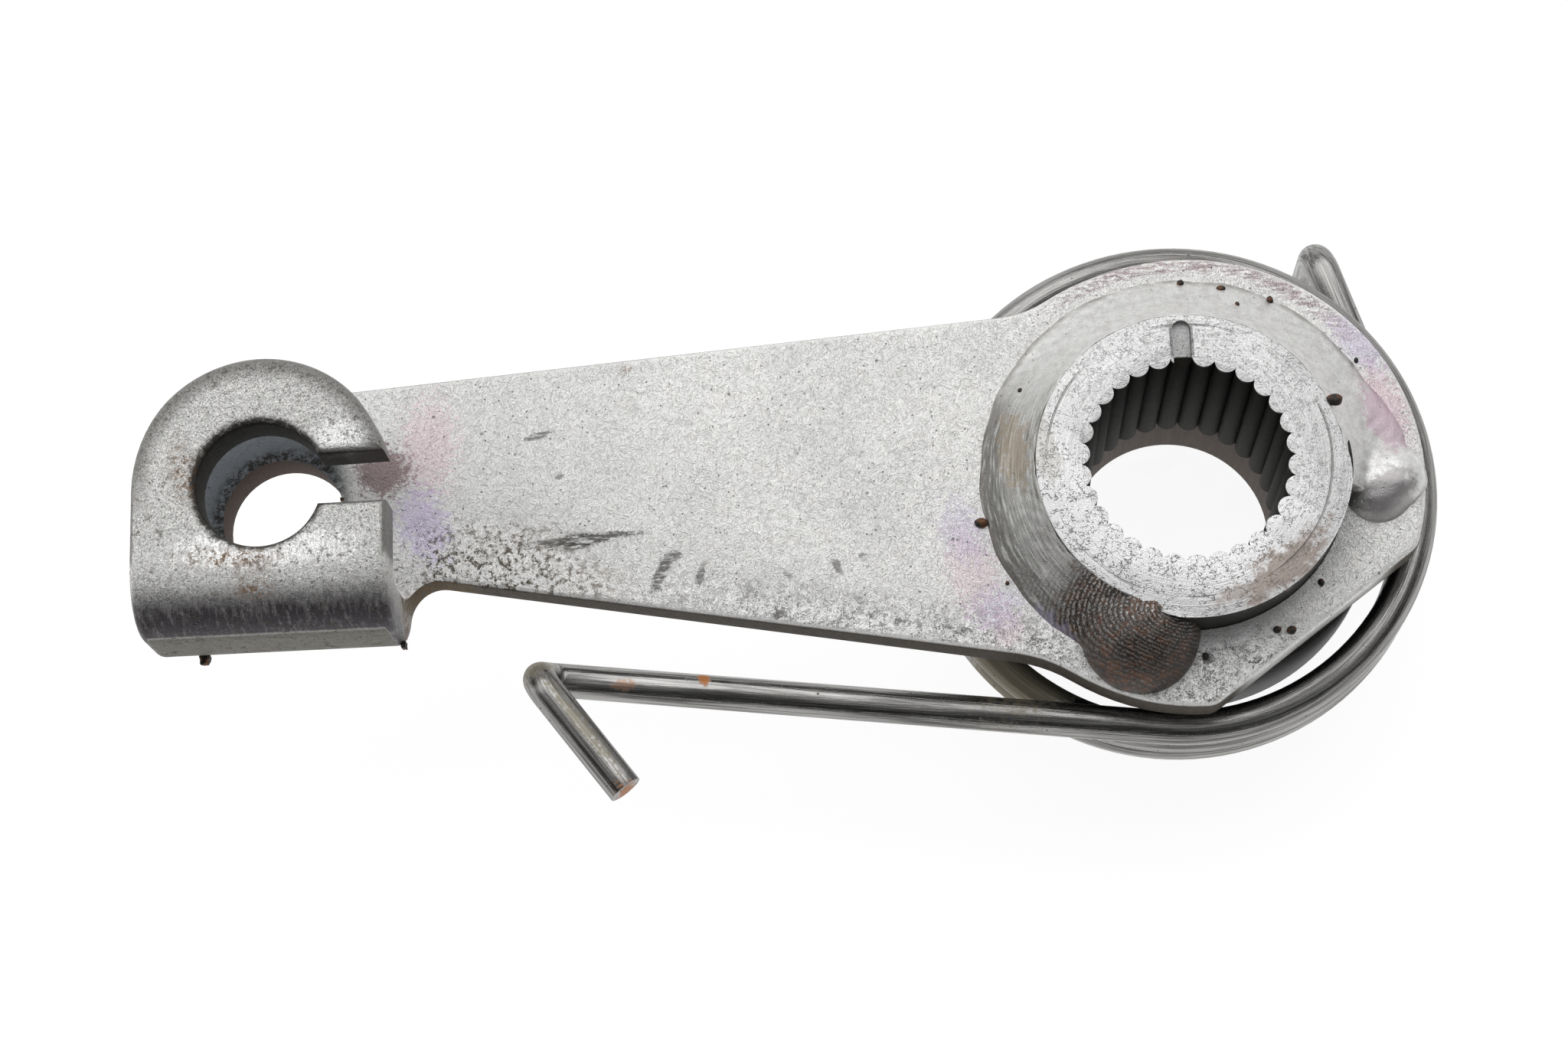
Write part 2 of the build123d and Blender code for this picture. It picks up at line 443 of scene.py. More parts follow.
@dataclass(frozen=True)
class PlatedSheet:
    """Dull zinc plate on pressed sheet, with its heat tints, dirt and scuffs, and with painted
    shade and highlights.
    """

    pale: Colour = (0.90, 0.895, 0.875)
    grey: Colour = (0.78, 0.78, 0.775)
    straw: Colour = (0.82, 0.79, 0.70)
    ear_grey: Colour = (0.62, 0.615, 0.60)
    sheared: Colour = (0.085, 0.07, 0.05)
    soil: Colour = (0.05, 0.045, 0.038)
    rust: Colour = (0.26, 0.13, 0.06)
    olive: Colour = (0.13, 0.10, 0.045)
    tan: Colour = (0.27, 0.16, 0.085)
    pink: Colour = (0.82, 0.58, 0.66)
    violet: Colour = (0.60, 0.50, 0.80)
    plum: Colour = (0.38, 0.28, 0.30)
    fold: Colour = (0.05, 0.045, 0.05)
    web: Colour = (0.14, 0.135, 0.115)

    pink_marks: tuple[Mark, ...] = (
        Mark((-50.4, 4.6, PLATE_FACE), (2.3, 4.0, 3), 0, 0.42, 1.9),
        Mark((-14.4, -6.2, PLATE_FACE), (1.9, 3.6, 3), 14, 0.36, 2.2),
        Mark((-12.4, -9.8, PLATE_FACE), (1.5, 1.6, 3), 14, 0.30, 2.2),
        Mark((13.6, 4.2, PLATE_FACE), (1.4, 3.6, 3), 18, 0.5, 1.6),
    )
    violet_marks: tuple[Mark, ...] = (
        Mark((-50.8, -0.9, PLATE_FACE), (1.9, 3.0, 3), 20, 0.5, 2.0),
        Mark((-15.0, -3.2, PLATE_FACE), (1.6, 2.6, 3), 14, 0.26, 2.2),
        Mark((-12.9, -8.6, PLATE_FACE), (2.0, 1.6, 3), 30, 0.28, 2.2),
        Mark((12.0, 8.6, PLATE_FACE), (1.2, 3.0, 3), 38, 0.35, 1.6),
    )
    tan_marks: tuple[Mark, ...] = (
        Mark((-39.5, -5.4, PLATE_FACE), (4.4, 1.8, 3), -8, 0.35, 1.4),
        Mark((-44.0, -2.8, PLATE_FACE), (5.0, 2.2, 3), -8, 0.3, 1.5),
        Mark((-60.4, -6.9, 23.4), (2.4, 1.0, 4), 0, 0.9, 2.0),
        Mark((-65.0, 1.0, 24.8), (1.6, 3.6, 3), 10, 0.8, 2.2),
        Mark((-62.0, -4.9, 24.8), (5.5, 1.2, 3), 0, 0.9, 2.2),
        Mark((-37.0, 9.2, PLATE_FACE), (1.0, 0.6, 3), 0, 0.7, 1.4),
    )
    rust_marks: tuple[Mark, ...] = (
        Mark((-50.2, -6.4, 15.0), (2.2, 2.4, 4), 0, 0.65, 1.2),
        Mark((-51.6, -7.6, 14.0), (1.6, 3.0, 6), 0, 0.8, 1.0),
        Mark((-60.5, -6.0, 24.0), (2.2, 1.6, 4), 0, 0.35, 1.6),
    )
    soil_marks: tuple[Mark, ...] = (
        Mark((-40.2, -2.5, PLATE_FACE), (4.3, 0.42, 2), 4, 0.8, 1.0),
        Mark((-40.6, -2.6, PLATE_FACE), (1.5, 0.75, 2), 4, 0.9, 1.1),
        Mark((-34.9, -4.9, PLATE_FACE), (1.9, 0.42, 2), 62, 0.75, 1.1),
        Mark((-34.3, -4.0, PLATE_FACE), (0.9, 0.5, 2), 30, 0.6, 1.0),
        Mark((-32.4, -5.3, PLATE_FACE), (0.95, 0.35, 2), 75, 0.6, 0.9),
        Mark((-43.0, 4.9, PLATE_FACE), (1.1, 0.28, 2), 14, 0.6, 0.9),
        Mark((-41.7, 1.9, PLATE_FACE), (0.45, 0.22, 2), 20, 0.5, 0.8),
        Mark((-23.3, -5.2, PLATE_FACE), (0.75, 0.35, 2), -60, 0.55, 0.9),
        Mark((-21.6, -4.6, PLATE_FACE), (0.4, 0.35, 2), 0, 0.45, 0.9),
        Mark((-22.0, -7.5, PLATE_FACE), (0.5, 0.25, 2), -40, 0.4, 0.9),
        Mark((-26.8, -5.4, PLATE_FACE), (0.7, 0.22, 2), -45, 0.35, 0.9),
    )

    # Bright patches along the fold's top and the upper lip's edge: painted highlights, partly
    # rubbed wear
    wear_and_highlight_marks: tuple[Mark, ...] = (
        Mark((-60.0, -4.4, 24.6), (8.6, 2.0, 3), 0, 1.0, 1.0),
        Mark((-54.8, 2.9, 24.6), (2.9, 1.7, 2), 12, 1.0, 0.9),
        Mark((-60.0, -6.6, 23.6), (8.8, 0.8, 3), 0, 0.7, 1.0),
    )
    edge_slope: float = 0.181
    edge_drop: float = 13.8
    slot_middle: float = 0.25
    # Painted shadow of the upper lip, with a brown-purple tint, on the plate between the ears
    lip_shadow_tint_mark: Mark = Mark((-53.5, 2.9, PLATE_FACE), (2.3, 2.1, 2), 0, 0.75, 1.5)
    stroke_ways: tuple[tuple[float, float], ...] = (
        (20, 1.25),
        (-35, 1.278),
        (68, 1.31),
        (-80, 1.374),
    )

    def paint(self) -> bpy.types.Material:
        """Makes the material."""
        g = Graph(bpy.data.materials.new("plated_sheet"))
        place = g.place()
        x, y, z = g.split(place)
        _, facing_y, facing_z = g.split(g.normal())
        level, sideways = abs(facing_z), abs(facing_y)
        flat, upright = level.over(0.8, 0.95), level.under(0.3, 0.7)
        square_on = sideways.over(0.96, 0.99)
        on_plate = z.under(17.0, 18.0)
        eye_end = x.under(-50.5, -49.5)
        broad = g.cloud(place, 0.16, 3.0)
        medium = g.cloud(place, 0.8, 4.0, 0.65)
        fine = g.cloud(place, 2.6, 3.0, 0.75)
        grain = g.cloud(place, 6.5, 2.0, 0.8)
        speckle = g.cloud(place, 12.0, 2.0, 0.9)
        ragged = g.cloud(place, 1.9, 5.0, 0.85)
        stain = g.cloud(place, 2.2, 5.0, 0.8)
        reach = g.radius(x, y)

        # Short strokes at all angles, some bright and some dark
        lines = [
            g.cloud(g.stretch(place, (1.0, 5.5, 1.0), turn), scale, 1.0)
            for turn, scale in self.stroke_ways
        ]
        strokes = reduce(Field.most, (line.over(0.62, 0.70) for line in lines))
        scores = reduce(Field.most, (line.under(0.26, 0.33) for line in lines))

        colour = g.tint(broad.over(0.4, 0.7) * 0.6, self.pale, self.grey)
        colour = g.tint(medium.over(0.5, 0.85) * 0.35, colour, self.straw)
        # Painted shade: the arm is darkened towards the ear
        dusk = x.under(-46.0, -30.0) * 0.5
        colour = g.tint(dusk, colour, (0.74, 0.74, 0.735))
        colour = g.shade(colour, fine * 0.3 + grain * 0.55 + speckle * 0.85 + 0.15)
        colour = g.tint(strokes * grain.over(0.35, 0.6) * 0.4, colour, (1.0, 1.0, 0.99))
        colour = g.tint(scores * speckle.over(0.4, 0.6) * 0.35, colour, (0.45, 0.44, 0.42))

        # Bright crazed plate along the arm's lower edge and the foot of the hub
        above_edge = y + x * self.edge_slope + self.edge_drop
        along_edge = above_edge.under(0.6, 3.6) * x.within(-40.0, -26.0, -9.0, -5.0)
        foot = y.under(-12.4, -9.6) * x.over(-12.0, -7.0)
        crazed = along_edge.most(foot) * flat * on_plate
        wobbled = g.join(x + medium * 3.0 + grain * 0.8, y + fine * 1.8, z * 0.3)
        veins = g.cracks(wobbled, 1.3).under(0.01, 0.06) * medium.over(0.46, 0.56)
        stipple = (speckle.under(0.41, 0.46) * fine.under(0.44, 0.55)).most(veins)
        colour = g.tint(crazed * 0.7, colour, (0.98, 0.98, 0.97))
        colour = g.tint(crazed * stipple * 0.85, colour, (0.13, 0.12, 0.11))

        # The ear is painted a darker grey than the arm for the weaker light on it; its bright
        # patches are painted highlights, partly rubbed wear where hands and cable reach it
        ear = x.under(-51.2, -50.8) * z.over(17.5, 20.0)
        mottle = stain.over(0.38, 0.62)
        coarse = mottle * 0.6 + speckle * 2.8 + grain * 1.6 - 1.35
        colour = g.tint(ear * 0.9, colour, g.shade(self.ear_grey, coarse.most(0.15)))
        wear_and_highlight = g.patches(self.wear_and_highlight_marks, ragged)
        hairs = g.cloud(g.stretch(place, (5.0, 0.7, 1.0)), 1.2, 3.0, 0.7)
        colour = g.tint(wear_and_highlight * hairs.over(0.34, 0.52) * 0.95, colour, (1.0, 1.0, 0.99))
        grit = wear_and_highlight * speckle.under(0.36, 0.41) * fine.under(0.45, 0.55)
        colour = g.tint(grit * 0.8, colour, (0.10, 0.09, 0.08))
        eyelet = g.join(x + EYE_REACH, y, z * 0.0)
        from_eye = g.node("VectorMath", {"operation": "LENGTH"}, {0: eyelet})
        from_eye = Field(g, from_eye.outputs["Value"])
        # Painted shade: the ear's tilted, rounded edges and its corner by the upper lip are
        # darkened
        rim = ear * (from_eye.over(6.6, 8.2) * y.over(-3.0, 2.0)).most(level.under(0.72, 0.93))
        rim = rim * y.over(-5.4, -4.6)
        colour = g.tint(rim * 0.75, colour, (0.15, 0.145, 0.135))
        mouth = ear * from_eye.under(4.3, 4.75) * ragged.over(0.42, 0.52)
        colour = g.tint(mouth * 0.85, colour, (0.05, 0.045, 0.035))

        # The fold is painted nearly black for the shade on its curve, and its flat side is a dull
        # olive grey
        fold = y.under(-8.5, -5.7) * eye_end * (1 - square_on)
        drawn = g.cloud(g.stretch(place, (2.4, 0.6, 0.6)), 1.6, 4.0, 0.7)
        flat_side = square_on * y.under(-8.9, -8.6) * eye_end
        streaky = (fold + (drawn - 0.5) * fold * 0.9).least(1.0)
        colour = g.tint(streaky, colour, g.shade(self.fold, speckle * 1.4 + drawn * 0.6))
        colour = g.tint(flat_side, colour, g.shade(self.web, drawn * 0.9 + speckle * 0.8 + 0.1))
        colour = g.tint(flat_side * mottle * stain.over(0.55, 0.6) * 0.7, colour, self.olive)

        for marks, heat_tint in ((self.pink_marks, self.pink), (self.violet_marks, self.violet)):
            for mark in marks:
                colour = g.tint(g.patch(mark, ragged), colour, heat_tint)

        # Blued band round the top of the hub
        band = reach.within(14.0, 14.3, 15.0, 15.3) * y.over(7.0, 12.0)
        streak = g.cloud(g.stretch(place, (0.6, 3.0, 1.0)), 1.3, 4.0, 0.8)
        colour = g.tint(band * streak.over(0.42, 0.58) * x.over(-10, -5) * 0.8, colour, self.plum)

        for mark in self.tan_marks:
            colour = g.tint(g.patch(mark, stain) * stain.over(0.48, 0.56), colour, self.tan)
        rust = g.patches(self.rust_marks, stain) * stain.over(0.46, 0.58)
        colour = g.tint(rust, colour, self.rust)
        scuff = g.patches(self.soil_marks, stain) * streak.over(0.40, 0.54)
        colour = g.tint(scuff, colour, self.soil)

        # Olive flakes beside the notch, and pits and specks elsewhere
        near_notch = above_edge.under(1.0, 5.6) * x.within(-51.5, -50.0, -45.0, -37.0)
        flake = stain.over(0.505, 0.54) * grain.over(0.38, 0.46) * near_notch
        colour = g.tint(flake * on_plate * 0.85, colour, self.olive)
        gap, chance = g.cells(place, 0.9)
        pit = gap.under(0.04, 0.13) * chance.over(0.78, 0.84)
        small_gap, small_chance = g.cells(place, 3.2)
        small_pit = small_gap.under(0.08, 0.26) * small_chance.over(0.86, 0.90)
        dirty = (x.under(-44.0, -36.0) * y.under(-3.5, 1.0)).most(ear * 0.8)
        mottled = stain.over(0.56, 0.62) * grain.over(0.4, 0.52) * dirty
        specks = (pit * 0.6).most(small_pit * 0.7).most(mottled * 0.75)
        colour = g.tint(specks, colour, (0.15, 0.125, 0.09))

        # Sheared edges are dark; the eye's wall in the front ear is painted near black and the
        # slot's walls dark, as painted shade inside them, and the eye's wall in the rear ear is
        # dark brown
        outside = reach.over(14.0, 15.2).most(x.under(-9.0, -8.0))
        cut = level.under(0.3, 0.75) * (1 - ear) * (1 - fold) * (1 - flat_side) * outside
        inside = upright * from_eye.under(5.4, 6.2)
        skin = g.cloud(g.stretch(place, (1.0, 1.0, 0.3)), 2.4, 3.0, 0.7)
        colour = g.tint(cut * 0.97, colour, g.shade(self.sheared, skin * 1.2 + 0.4))
        burnt = x.within(-53.2, -52.8, -47.8, -47.0) * cut * stain.over(0.42, 0.56)
        colour = g.tint(burnt * 0.9, colour, (0.20, 0.13, 0.05))
        colour = g.tint(inside * z.over(20.5, 21.5) * 0.97, colour, (0.02, 0.018, 0.014))
        colour = g.tint(inside * z.under(17.5, 18.5) * 0.9, colour, (0.10, 0.065, 0.05))
        slot_side = upright * ear * abs(y - self.slot_middle).under(2.2, 2.6)
        slot_side = slot_side * x.over(-57.6, -57.0) * sideways.over(0.6, 0.8)
        colour = g.tint(slot_side * 0.95, colour, (0.045, 0.035, 0.03))
        # Painted shade: the rear ear's face seen through the eye is a darker bluish grey, darkest
        # at the edge of its own hole
        behind = z.under(17.0, 17.5) * from_eye.under(6.2, 8.4) * flat
        behind = behind * x.under(-57.2, -55.2)
        colour = g.tint(behind, colour, (0.17, 0.185, 0.20))
        rear_hole_edge_shade = behind * from_eye.under(4.5, 5.2) * ragged.over(0.44, 0.54)
        colour = g.tint(rear_hole_edge_shade * 0.9, colour, (0.03, 0.027, 0.024))
        # Painted shadow of the upper lip, with a brown-purple tint, on the plate between the ears
        colour = g.tint(g.patch(self.lip_shadow_tint_mark, ragged), colour, (0.24, 0.14, 0.15))

        dirt = scuff.most(rust).most(specks).most(cut * 0.7).most(inside * 0.8).most(flake)
        rough = 0.42 + grain * 0.18 + dirt * 0.3 - wear_and_highlight * 0.16 - band * 0.1 - fold * 0.14
        metallic = 1 - dirt * 0.7
        height = fine * 0.5 + grain * 0.8 + medium * 0.35 - specks * 1.4 - strokes * 0.35
        height = height + speckle * 0.7 - crazed * stipple * 1.2 - scores * 0.4
        height = height + cut * skin * 1.5 - scuff * 0.5 + hairs * wear_and_highlight * 0.5
        return g.metal(colour, rough.most(0.16), metallic, g.bump(height, 0.06))


@dataclass(frozen=True)
class TurnedSteel:
    """Turned steel: bright on its marked face, painted dark down its sides and in its serration for
    the shade there.
    """

    bright: Colour = (0.69, 0.69, 0.685)
    side: Colour = (0.075, 0.073, 0.07)
    # Near black painted for the shade in the bore's serration
    bore_shade: Colour = (0.016, 0.015, 0.011)
    bare_bore: Colour = (0.115, 0.09, 0.075)
    stain: Colour = (0.42, 0.33, 0.28)
    scribed_radius: float = 9.3
    relief_end: float = 5.6
    slot_middle: float = 0.1
    brown_marks: tuple[Mark, ...] = (
        Mark((5.8, -7.4, BOSS_FACE), (4.2, 1.5, 1.4), 36, 0.75, 1.2),
        Mark((2.8, -9.1, BOSS_FACE), (2.6, 0.8, 1.4), 14, 0.5, 1.2),
    )
    grimy_mark: Mark = Mark((-9.3, 1.2, BOSS_FACE), (0.9, 3.6, 1.4), 8, 0.35, 1.1)

    def paint(self) -> bpy.types.Material:
        """Makes the material."""
        g = Graph(bpy.data.materials.new("turned_steel"))
        place = g.place()
        x, y, z = g.split(place)
        reach = g.radius(x, y)
        turned = g.join(reach * 5.0, x / reach * 0.9, y / reach * 0.9)
        rings = g.cloud(turned, 2.4, 3.0, 0.6)
        wide_rings = g.cloud(turned, 0.5, 2.0, 0.5)
        passes = g.cloud(g.join(z * 6.0, x * 0.08, y * 0.08), 1.0, 3.0, 0.6)
        broad = g.cloud(place, 0.35, 3.0)
        fine = g.cloud(place, 5.0, 3.0, 0.7)
        flecks, chance = g.cells(place, 4.5)

        speckle = g.cloud(place, 12.0, 2.0, 0.9)
        # The sides are painted dark for the shade on them; the face is bright
        front = z.over(BOSS_FACE - 0.12, BOSS_FACE - 0.04)
        colour = g.tint(front, self.side, self.bright)
        # Painted light: the slot's floor is painted white to brighten it in the slot's shade
        from_slot = abs(x - self.slot_middle)
        slot = from_slot.under(0.62, 0.7) * y.within(6.9, 7.1, 9.7, 9.8)
        slot = slot * z.over(BOSS_FACE - 1.1, BOSS_FACE - 1.0) * (1 - front)
        colour = g.tint(slot, colour, (1.0, 1.0, 0.99))
        slot_rim = abs(from_slot - 0.68).under(0.06, 0.14) * y.within(6.9, 7.2, 9.1, 9.3)
        colour = g.tint(slot_rim * 0.7, colour, (0.12, 0.12, 0.12))
        shine = fine * 0.2 + speckle * 0.9 + rings * front * 0.9
        colour = g.shade(colour, shine)
        fleck = flecks.under(0.1, 0.4) * chance.over(0.7, 0.8) * front
        colour = g.tint(fleck * 0.4, colour, (1.0, 1.0, 1.0))
        dark_fleck = flecks.under(0.1, 0.35) * chance.under(0.1, 0.2)
        colour = g.tint(dark_fleck * 0.3, colour, (0.25, 0.24, 0.23))

        # The lower half is whiter, with short dark squiggles
        lower = (y + x * 0.3).under(-6.0, 3.0) * front
        worm = abs(g.cloud(place, 2.6, 2.0, 0.6) - 0.5).under(0.010, 0.030)
        worm = worm * g.cloud(place, 1.7, 3.0, 0.7).over(0.46, 0.56)
        colour = g.tint(lower * 0.45, colour, (0.86, 0.86, 0.86))
        colour = g.tint(worm * front * (lower * 0.75 + 0.08), colour, (0.16, 0.155, 0.15))
        tilted = abs(g.split(g.normal())[2]).under(0.80, 0.97)
        edge = tilted * reach.under(7.3, 7.5) * z.over(BOSS_FACE - 0.14, BOSS_FACE - 0.1)
        colour = g.tint(edge * 0.9, colour, (0.06, 0.055, 0.05))

        ragged = g.cloud(place, 1.1, 5.0, 0.7)
        brown = g.patches(self.brown_marks, ragged)
        colour = g.tint(brown, colour, self.stain)
        colour = g.tint(g.patch(self.grimy_mark, ragged), colour, (0.40, 0.37, 0.31))

        line = abs(reach + (broad - 0.5) * 0.05 - self.scribed_radius).under(0.03, 0.085) * front
        line = line * g.cloud(g.join(x / reach, y / reach, 0.0), 1.6, 2.0).over(0.42, 0.56)
        colour = g.tint(line * 0.6, colour, (0.22, 0.21, 0.20))

        # Painted shade: the serration in the bore is near black; the plain bore deeper down is dark
        # brown
        bore = reach.under(7.15, 7.25) * z.under(BOSS_FACE - 0.25, BOSS_FACE - 0.1)
        deep = z.under(self.relief_end - 0.05, self.relief_end + 0.05)
        streaks = g.cloud(g.join(x * 2.0, y * 2.0, z * 0.12), 1.2, 3.0, 0.65)
        wall = g.tint(deep, self.bore_shade, self.bare_bore)
        wall = g.shade(wall, streaks * 0.9 + 0.55)
        colour = g.tint(bore, colour, wall)

        height = fine * 0.4 + speckle * 0.7 + (rings * 0.5 + wide_rings * 0.5) * front
        height = height - line * 1.6 - worm * front
        height = height + passes * (1 - front) * 0.7 - dark_fleck * 0.5
        rough = 0.34 + fine * 0.16 + bore * 0.2 + brown * 0.2 + (1 - front) * 0.08
        metallic = 1 - (bore * 0.2).most(brown * 0.4)
        return g.metal(colour, rough, metallic, g.bump(height, 0.045))


@dataclass(frozen=True)
class WeldMetal:
    """Fused bead: fine crescent ripples, dull silver, browned at its crater."""

    silver: Colour = (0.80, 0.80, 0.785)
    dull: Colour = (0.66, 0.655, 0.64)
    shaded: Colour = (0.30, 0.30, 0.285)
    brown: Colour = (0.15, 0.075, 0.045)
    dark: Colour = (0.10, 0.095, 0.09)
    ripple_pitch: float = 0.22
    stained: Mark = Mark((-11.2, 1.5, 17.6), (1.2, 3.4, 3), 6, 0.5, 1.4)
    heat_marks: tuple[tuple[Mark, Colour], ...] = (
        (Mark((13.4, 3.4, 16.6), (1.8, 3.6, 3), 12, 0.75, 0.9), (0.66, 0.50, 0.58)),
        (Mark((13.2, -2.6, 17.0), (2.4, 2.8, 3), 0, 0.8, 0.9), (0.40, 0.375, 0.38)),
        (Mark((-9.6, -10.6, 16.6), (1.4, 3.0, 3), 40, 0.4, 0.9), (0.50, 0.46, 0.66)),
    )

    def paint(self) -> bpy.types.Material:
        """Makes the material."""
        g = Graph(bpy.data.materials.new("weld_metal"))
        place = g.place()
        x, y, _ = g.split(place)
        travel, across, crater, nest = map(g.attribute, ("travel", "across", "crater", "nest"))
        broad = g.cloud(place, 0.5, 3.0)
        medium = g.cloud(place, 1.6, 4.0, 0.65)
        fine = g.cloud(place, 6.0, 3.0, 0.7)

        speckle = g.cloud(place, 12.0, 2.0, 0.9)
        left = x.under(-8.5, -4.0) * y.under(2.0, 9.0)
        outer = across.under(-0.7, 0.0)

        # Nested arcs round the crater, and streaks along the bead behind them
        waver = medium * 9.0 + fine * 4.0
        ripples = (nest * (tau / self.ripple_pitch) + waver).sine() * 0.5 + 0.5
        shown = nest.under(5.0, 9.0) * crater.most(left * 0.4) * fine.over(0.38, 0.62)
        flow = g.cloud(g.join(travel * 0.22, across * 5.5, travel * 0.05), 2.2, 3.0, 0.65)
        slow = (travel * (tau / 1.1) + broad * 7.0).sine() * 0.5 + 0.5

        colour = g.tint(medium.over(0.35, 0.7), self.silver, self.dull)
        # Painted shade: the bead's left side is darker, darkest on its outer slope by the toe
        colour = g.tint(left * (0.65 + outer * 0.35), colour, self.shaded)
        colour = g.tint(left * outer * across.under(-0.9, -0.4) * 0.6, colour, (0.16, 0.155, 0.145))
        colour = g.tint(left * flow.over(0.5, 0.62) * 0.45, colour, (0.85, 0.85, 0.83))
        colour = g.tint(left * flow.under(0.36, 0.46) * 0.5, colour, self.dark)
        burn = (crater + medium * 0.5 - 0.25).over(0.1, 0.8)
        colour = g.tint(burn, colour, (0.06, 0.052, 0.048))
        colour = g.tint(burn * medium.over(0.46, 0.62) * 0.6, colour, self.brown)
        glint = ripples * shown * (0.12 + y.over(-13.5, -8.5) * 0.75)
        colour = g.tint(glint, colour, (0.66, 0.65, 0.63))
        colour = g.shade(colour, fine * 0.3 + speckle * 0.7 + 0.5)
        # Painted shadow: a dark line along the toe, at places, where the bead meets the plate
        rim = across.under(-0.97, -0.86)
        colour = g.tint(rim * 0.55 * broad.over(0.3, 0.6), colour, (0.22, 0.20, 0.18))
        ragged = g.cloud(place, 1.5, 5.0, 0.7)
        colour = g.tint(g.patch(self.stained, ragged), colour, (0.36, 0.27, 0.17))
        gap, chance = g.cells(place, 2.2)
        speck = gap.under(0.05, 0.2) * chance.over(0.78, 0.84)
        colour = g.tint(speck * 0.6, colour, self.dark)

        for mark, heat_tint in self.heat_marks:
            colour = g.tint(g.patch(mark, ragged), colour, heat_tint)

        rough = 0.36 + fine * 0.16 - burn * 0.08 + speck * 0.2
        height = ripples * shown * 0.6 + slow * 0.2 + fine * 0.3 + medium * 0.7 - speck * 0.6
        height = height + flow * left * 0.8 + speckle * 0.4
        return g.metal(colour, rough, 1 - speck * 0.6, g.bump(height, 0.05))


@dataclass(frozen=True)
class SpringWire:
    """Drawn spring wire: semi-gloss, streaked along its length, soiled at hook and coil."""

    steel: Colour = (0.36, 0.355, 0.345)
    shadow: Colour = (0.10, 0.097, 0.093)
    rust: Colour = (0.50, 0.19, 0.05)
    olive: Colour = (0.22, 0.19, 0.12)
    rust_marks: tuple[Mark, ...] = (
        Mark((-32.6, -11.6, 13.8), (0.55, 0.7, 1.2), 0, 0.95, 0.9),
        Mark((-37.9, -11.9, 13.4), (1.0, 0.5, 1.0), 0, 0.35, 1.3),
        Mark((-38.0, -19.2, 15.6), (1.0, 0.8, 1.6), 0, 0.9, 1.2),
    )
    olive_marks: tuple[Mark, ...] = (
        Mark((-43.6, -11.0, 15.0), (1.6, 1.6, 2.6), 0, 0.75, 1.0),
        Mark((-40.4, -15.2, 16.4), (4.8, 0.55, 1.6), -53.5, 0.55, 1.6),
        Mark((-12.0, -12.5, 9.5), (5.0, 5.0, 5.0), 0, 0.7, 0.8),
    )

    def paint(self) -> bpy.types.Material:
        """Makes the material."""
        g = Graph(bpy.data.materials.new("spring_wire"))
        place = g.place()
        along, up, out = map(g.attribute, ("along", "round_up", "round_out"))
        drawn = g.join(along * 0.045, up * 2.2, out * 2.2)
        streaks = g.cloud(drawn, 2.0, 4.0, 0.65)
        hairs = g.cloud(g.join(along * 0.12, up * 7.0, out * 7.0), 2.2, 2.0, 0.6)
        broad = g.cloud(place, 0.22, 3.0)
        fine = g.cloud(place, 4.5, 4.0, 0.7)
        ragged = g.cloud(place, 2.4, 5.0, 0.75)

        colour = g.tint(streaks.over(0.35, 0.68), self.steel, self.shadow)
        colour = g.shade(colour, hairs * 0.35 + fine * 0.15 + 0.78)
        film = g.patches(self.olive_marks, ragged)
        colour = g.tint(film, colour, self.olive)
        rust = g.patches(self.rust_marks, ragged)
        colour = g.tint(rust, colour, self.rust)
        gap, chance = g.cells(place, 1.6)
        pit = gap.under(0.05, 0.18) * chance.over(0.8, 0.86)
        colour = g.tint(pit * 0.7, colour, (0.07, 0.06, 0.05))

        dirt = film.most(rust).most(pit)
        rough = 0.15 + streaks * 0.10 + fine * 0.07 + broad * 0.05 + dirt * 0.3
        height = streaks * 0.9 + hairs * 0.5 + fine * 0.3 - pit * 0.8 + rust * 0.4
        return g.metal(colour, rough, 1 - dirt * 0.6, g.bump(height, 0.03))


@dataclass(frozen=True)
class BurntSpatter:
    """Droplets and burrs: blackened beads with a rusty bloom."""

    name: str = "burnt_spatter"
    black: Colour = (0.045, 0.042, 0.04)
    rusty: Colour = (0.20, 0.09, 0.04)

    def paint(self) -> bpy.types.Material:
        """Makes the material."""
        g = Graph(bpy.data.materials.new(self.name))
        place = g.place()
        blotch = g.cloud(place, 1.8, 3.0, 0.6)
        fine = g.cloud(place, 8.0, 3.0, 0.7)
        colour = g.tint(blotch.over(0.48, 0.62) * 0.7, self.black, self.rusty)
        colour = g.shade(colour, fine * 0.8 + 0.6)
        return g.metal(colour, 0.42 + fine * 0.2, 0.75, g.bump(fine, 0.04))


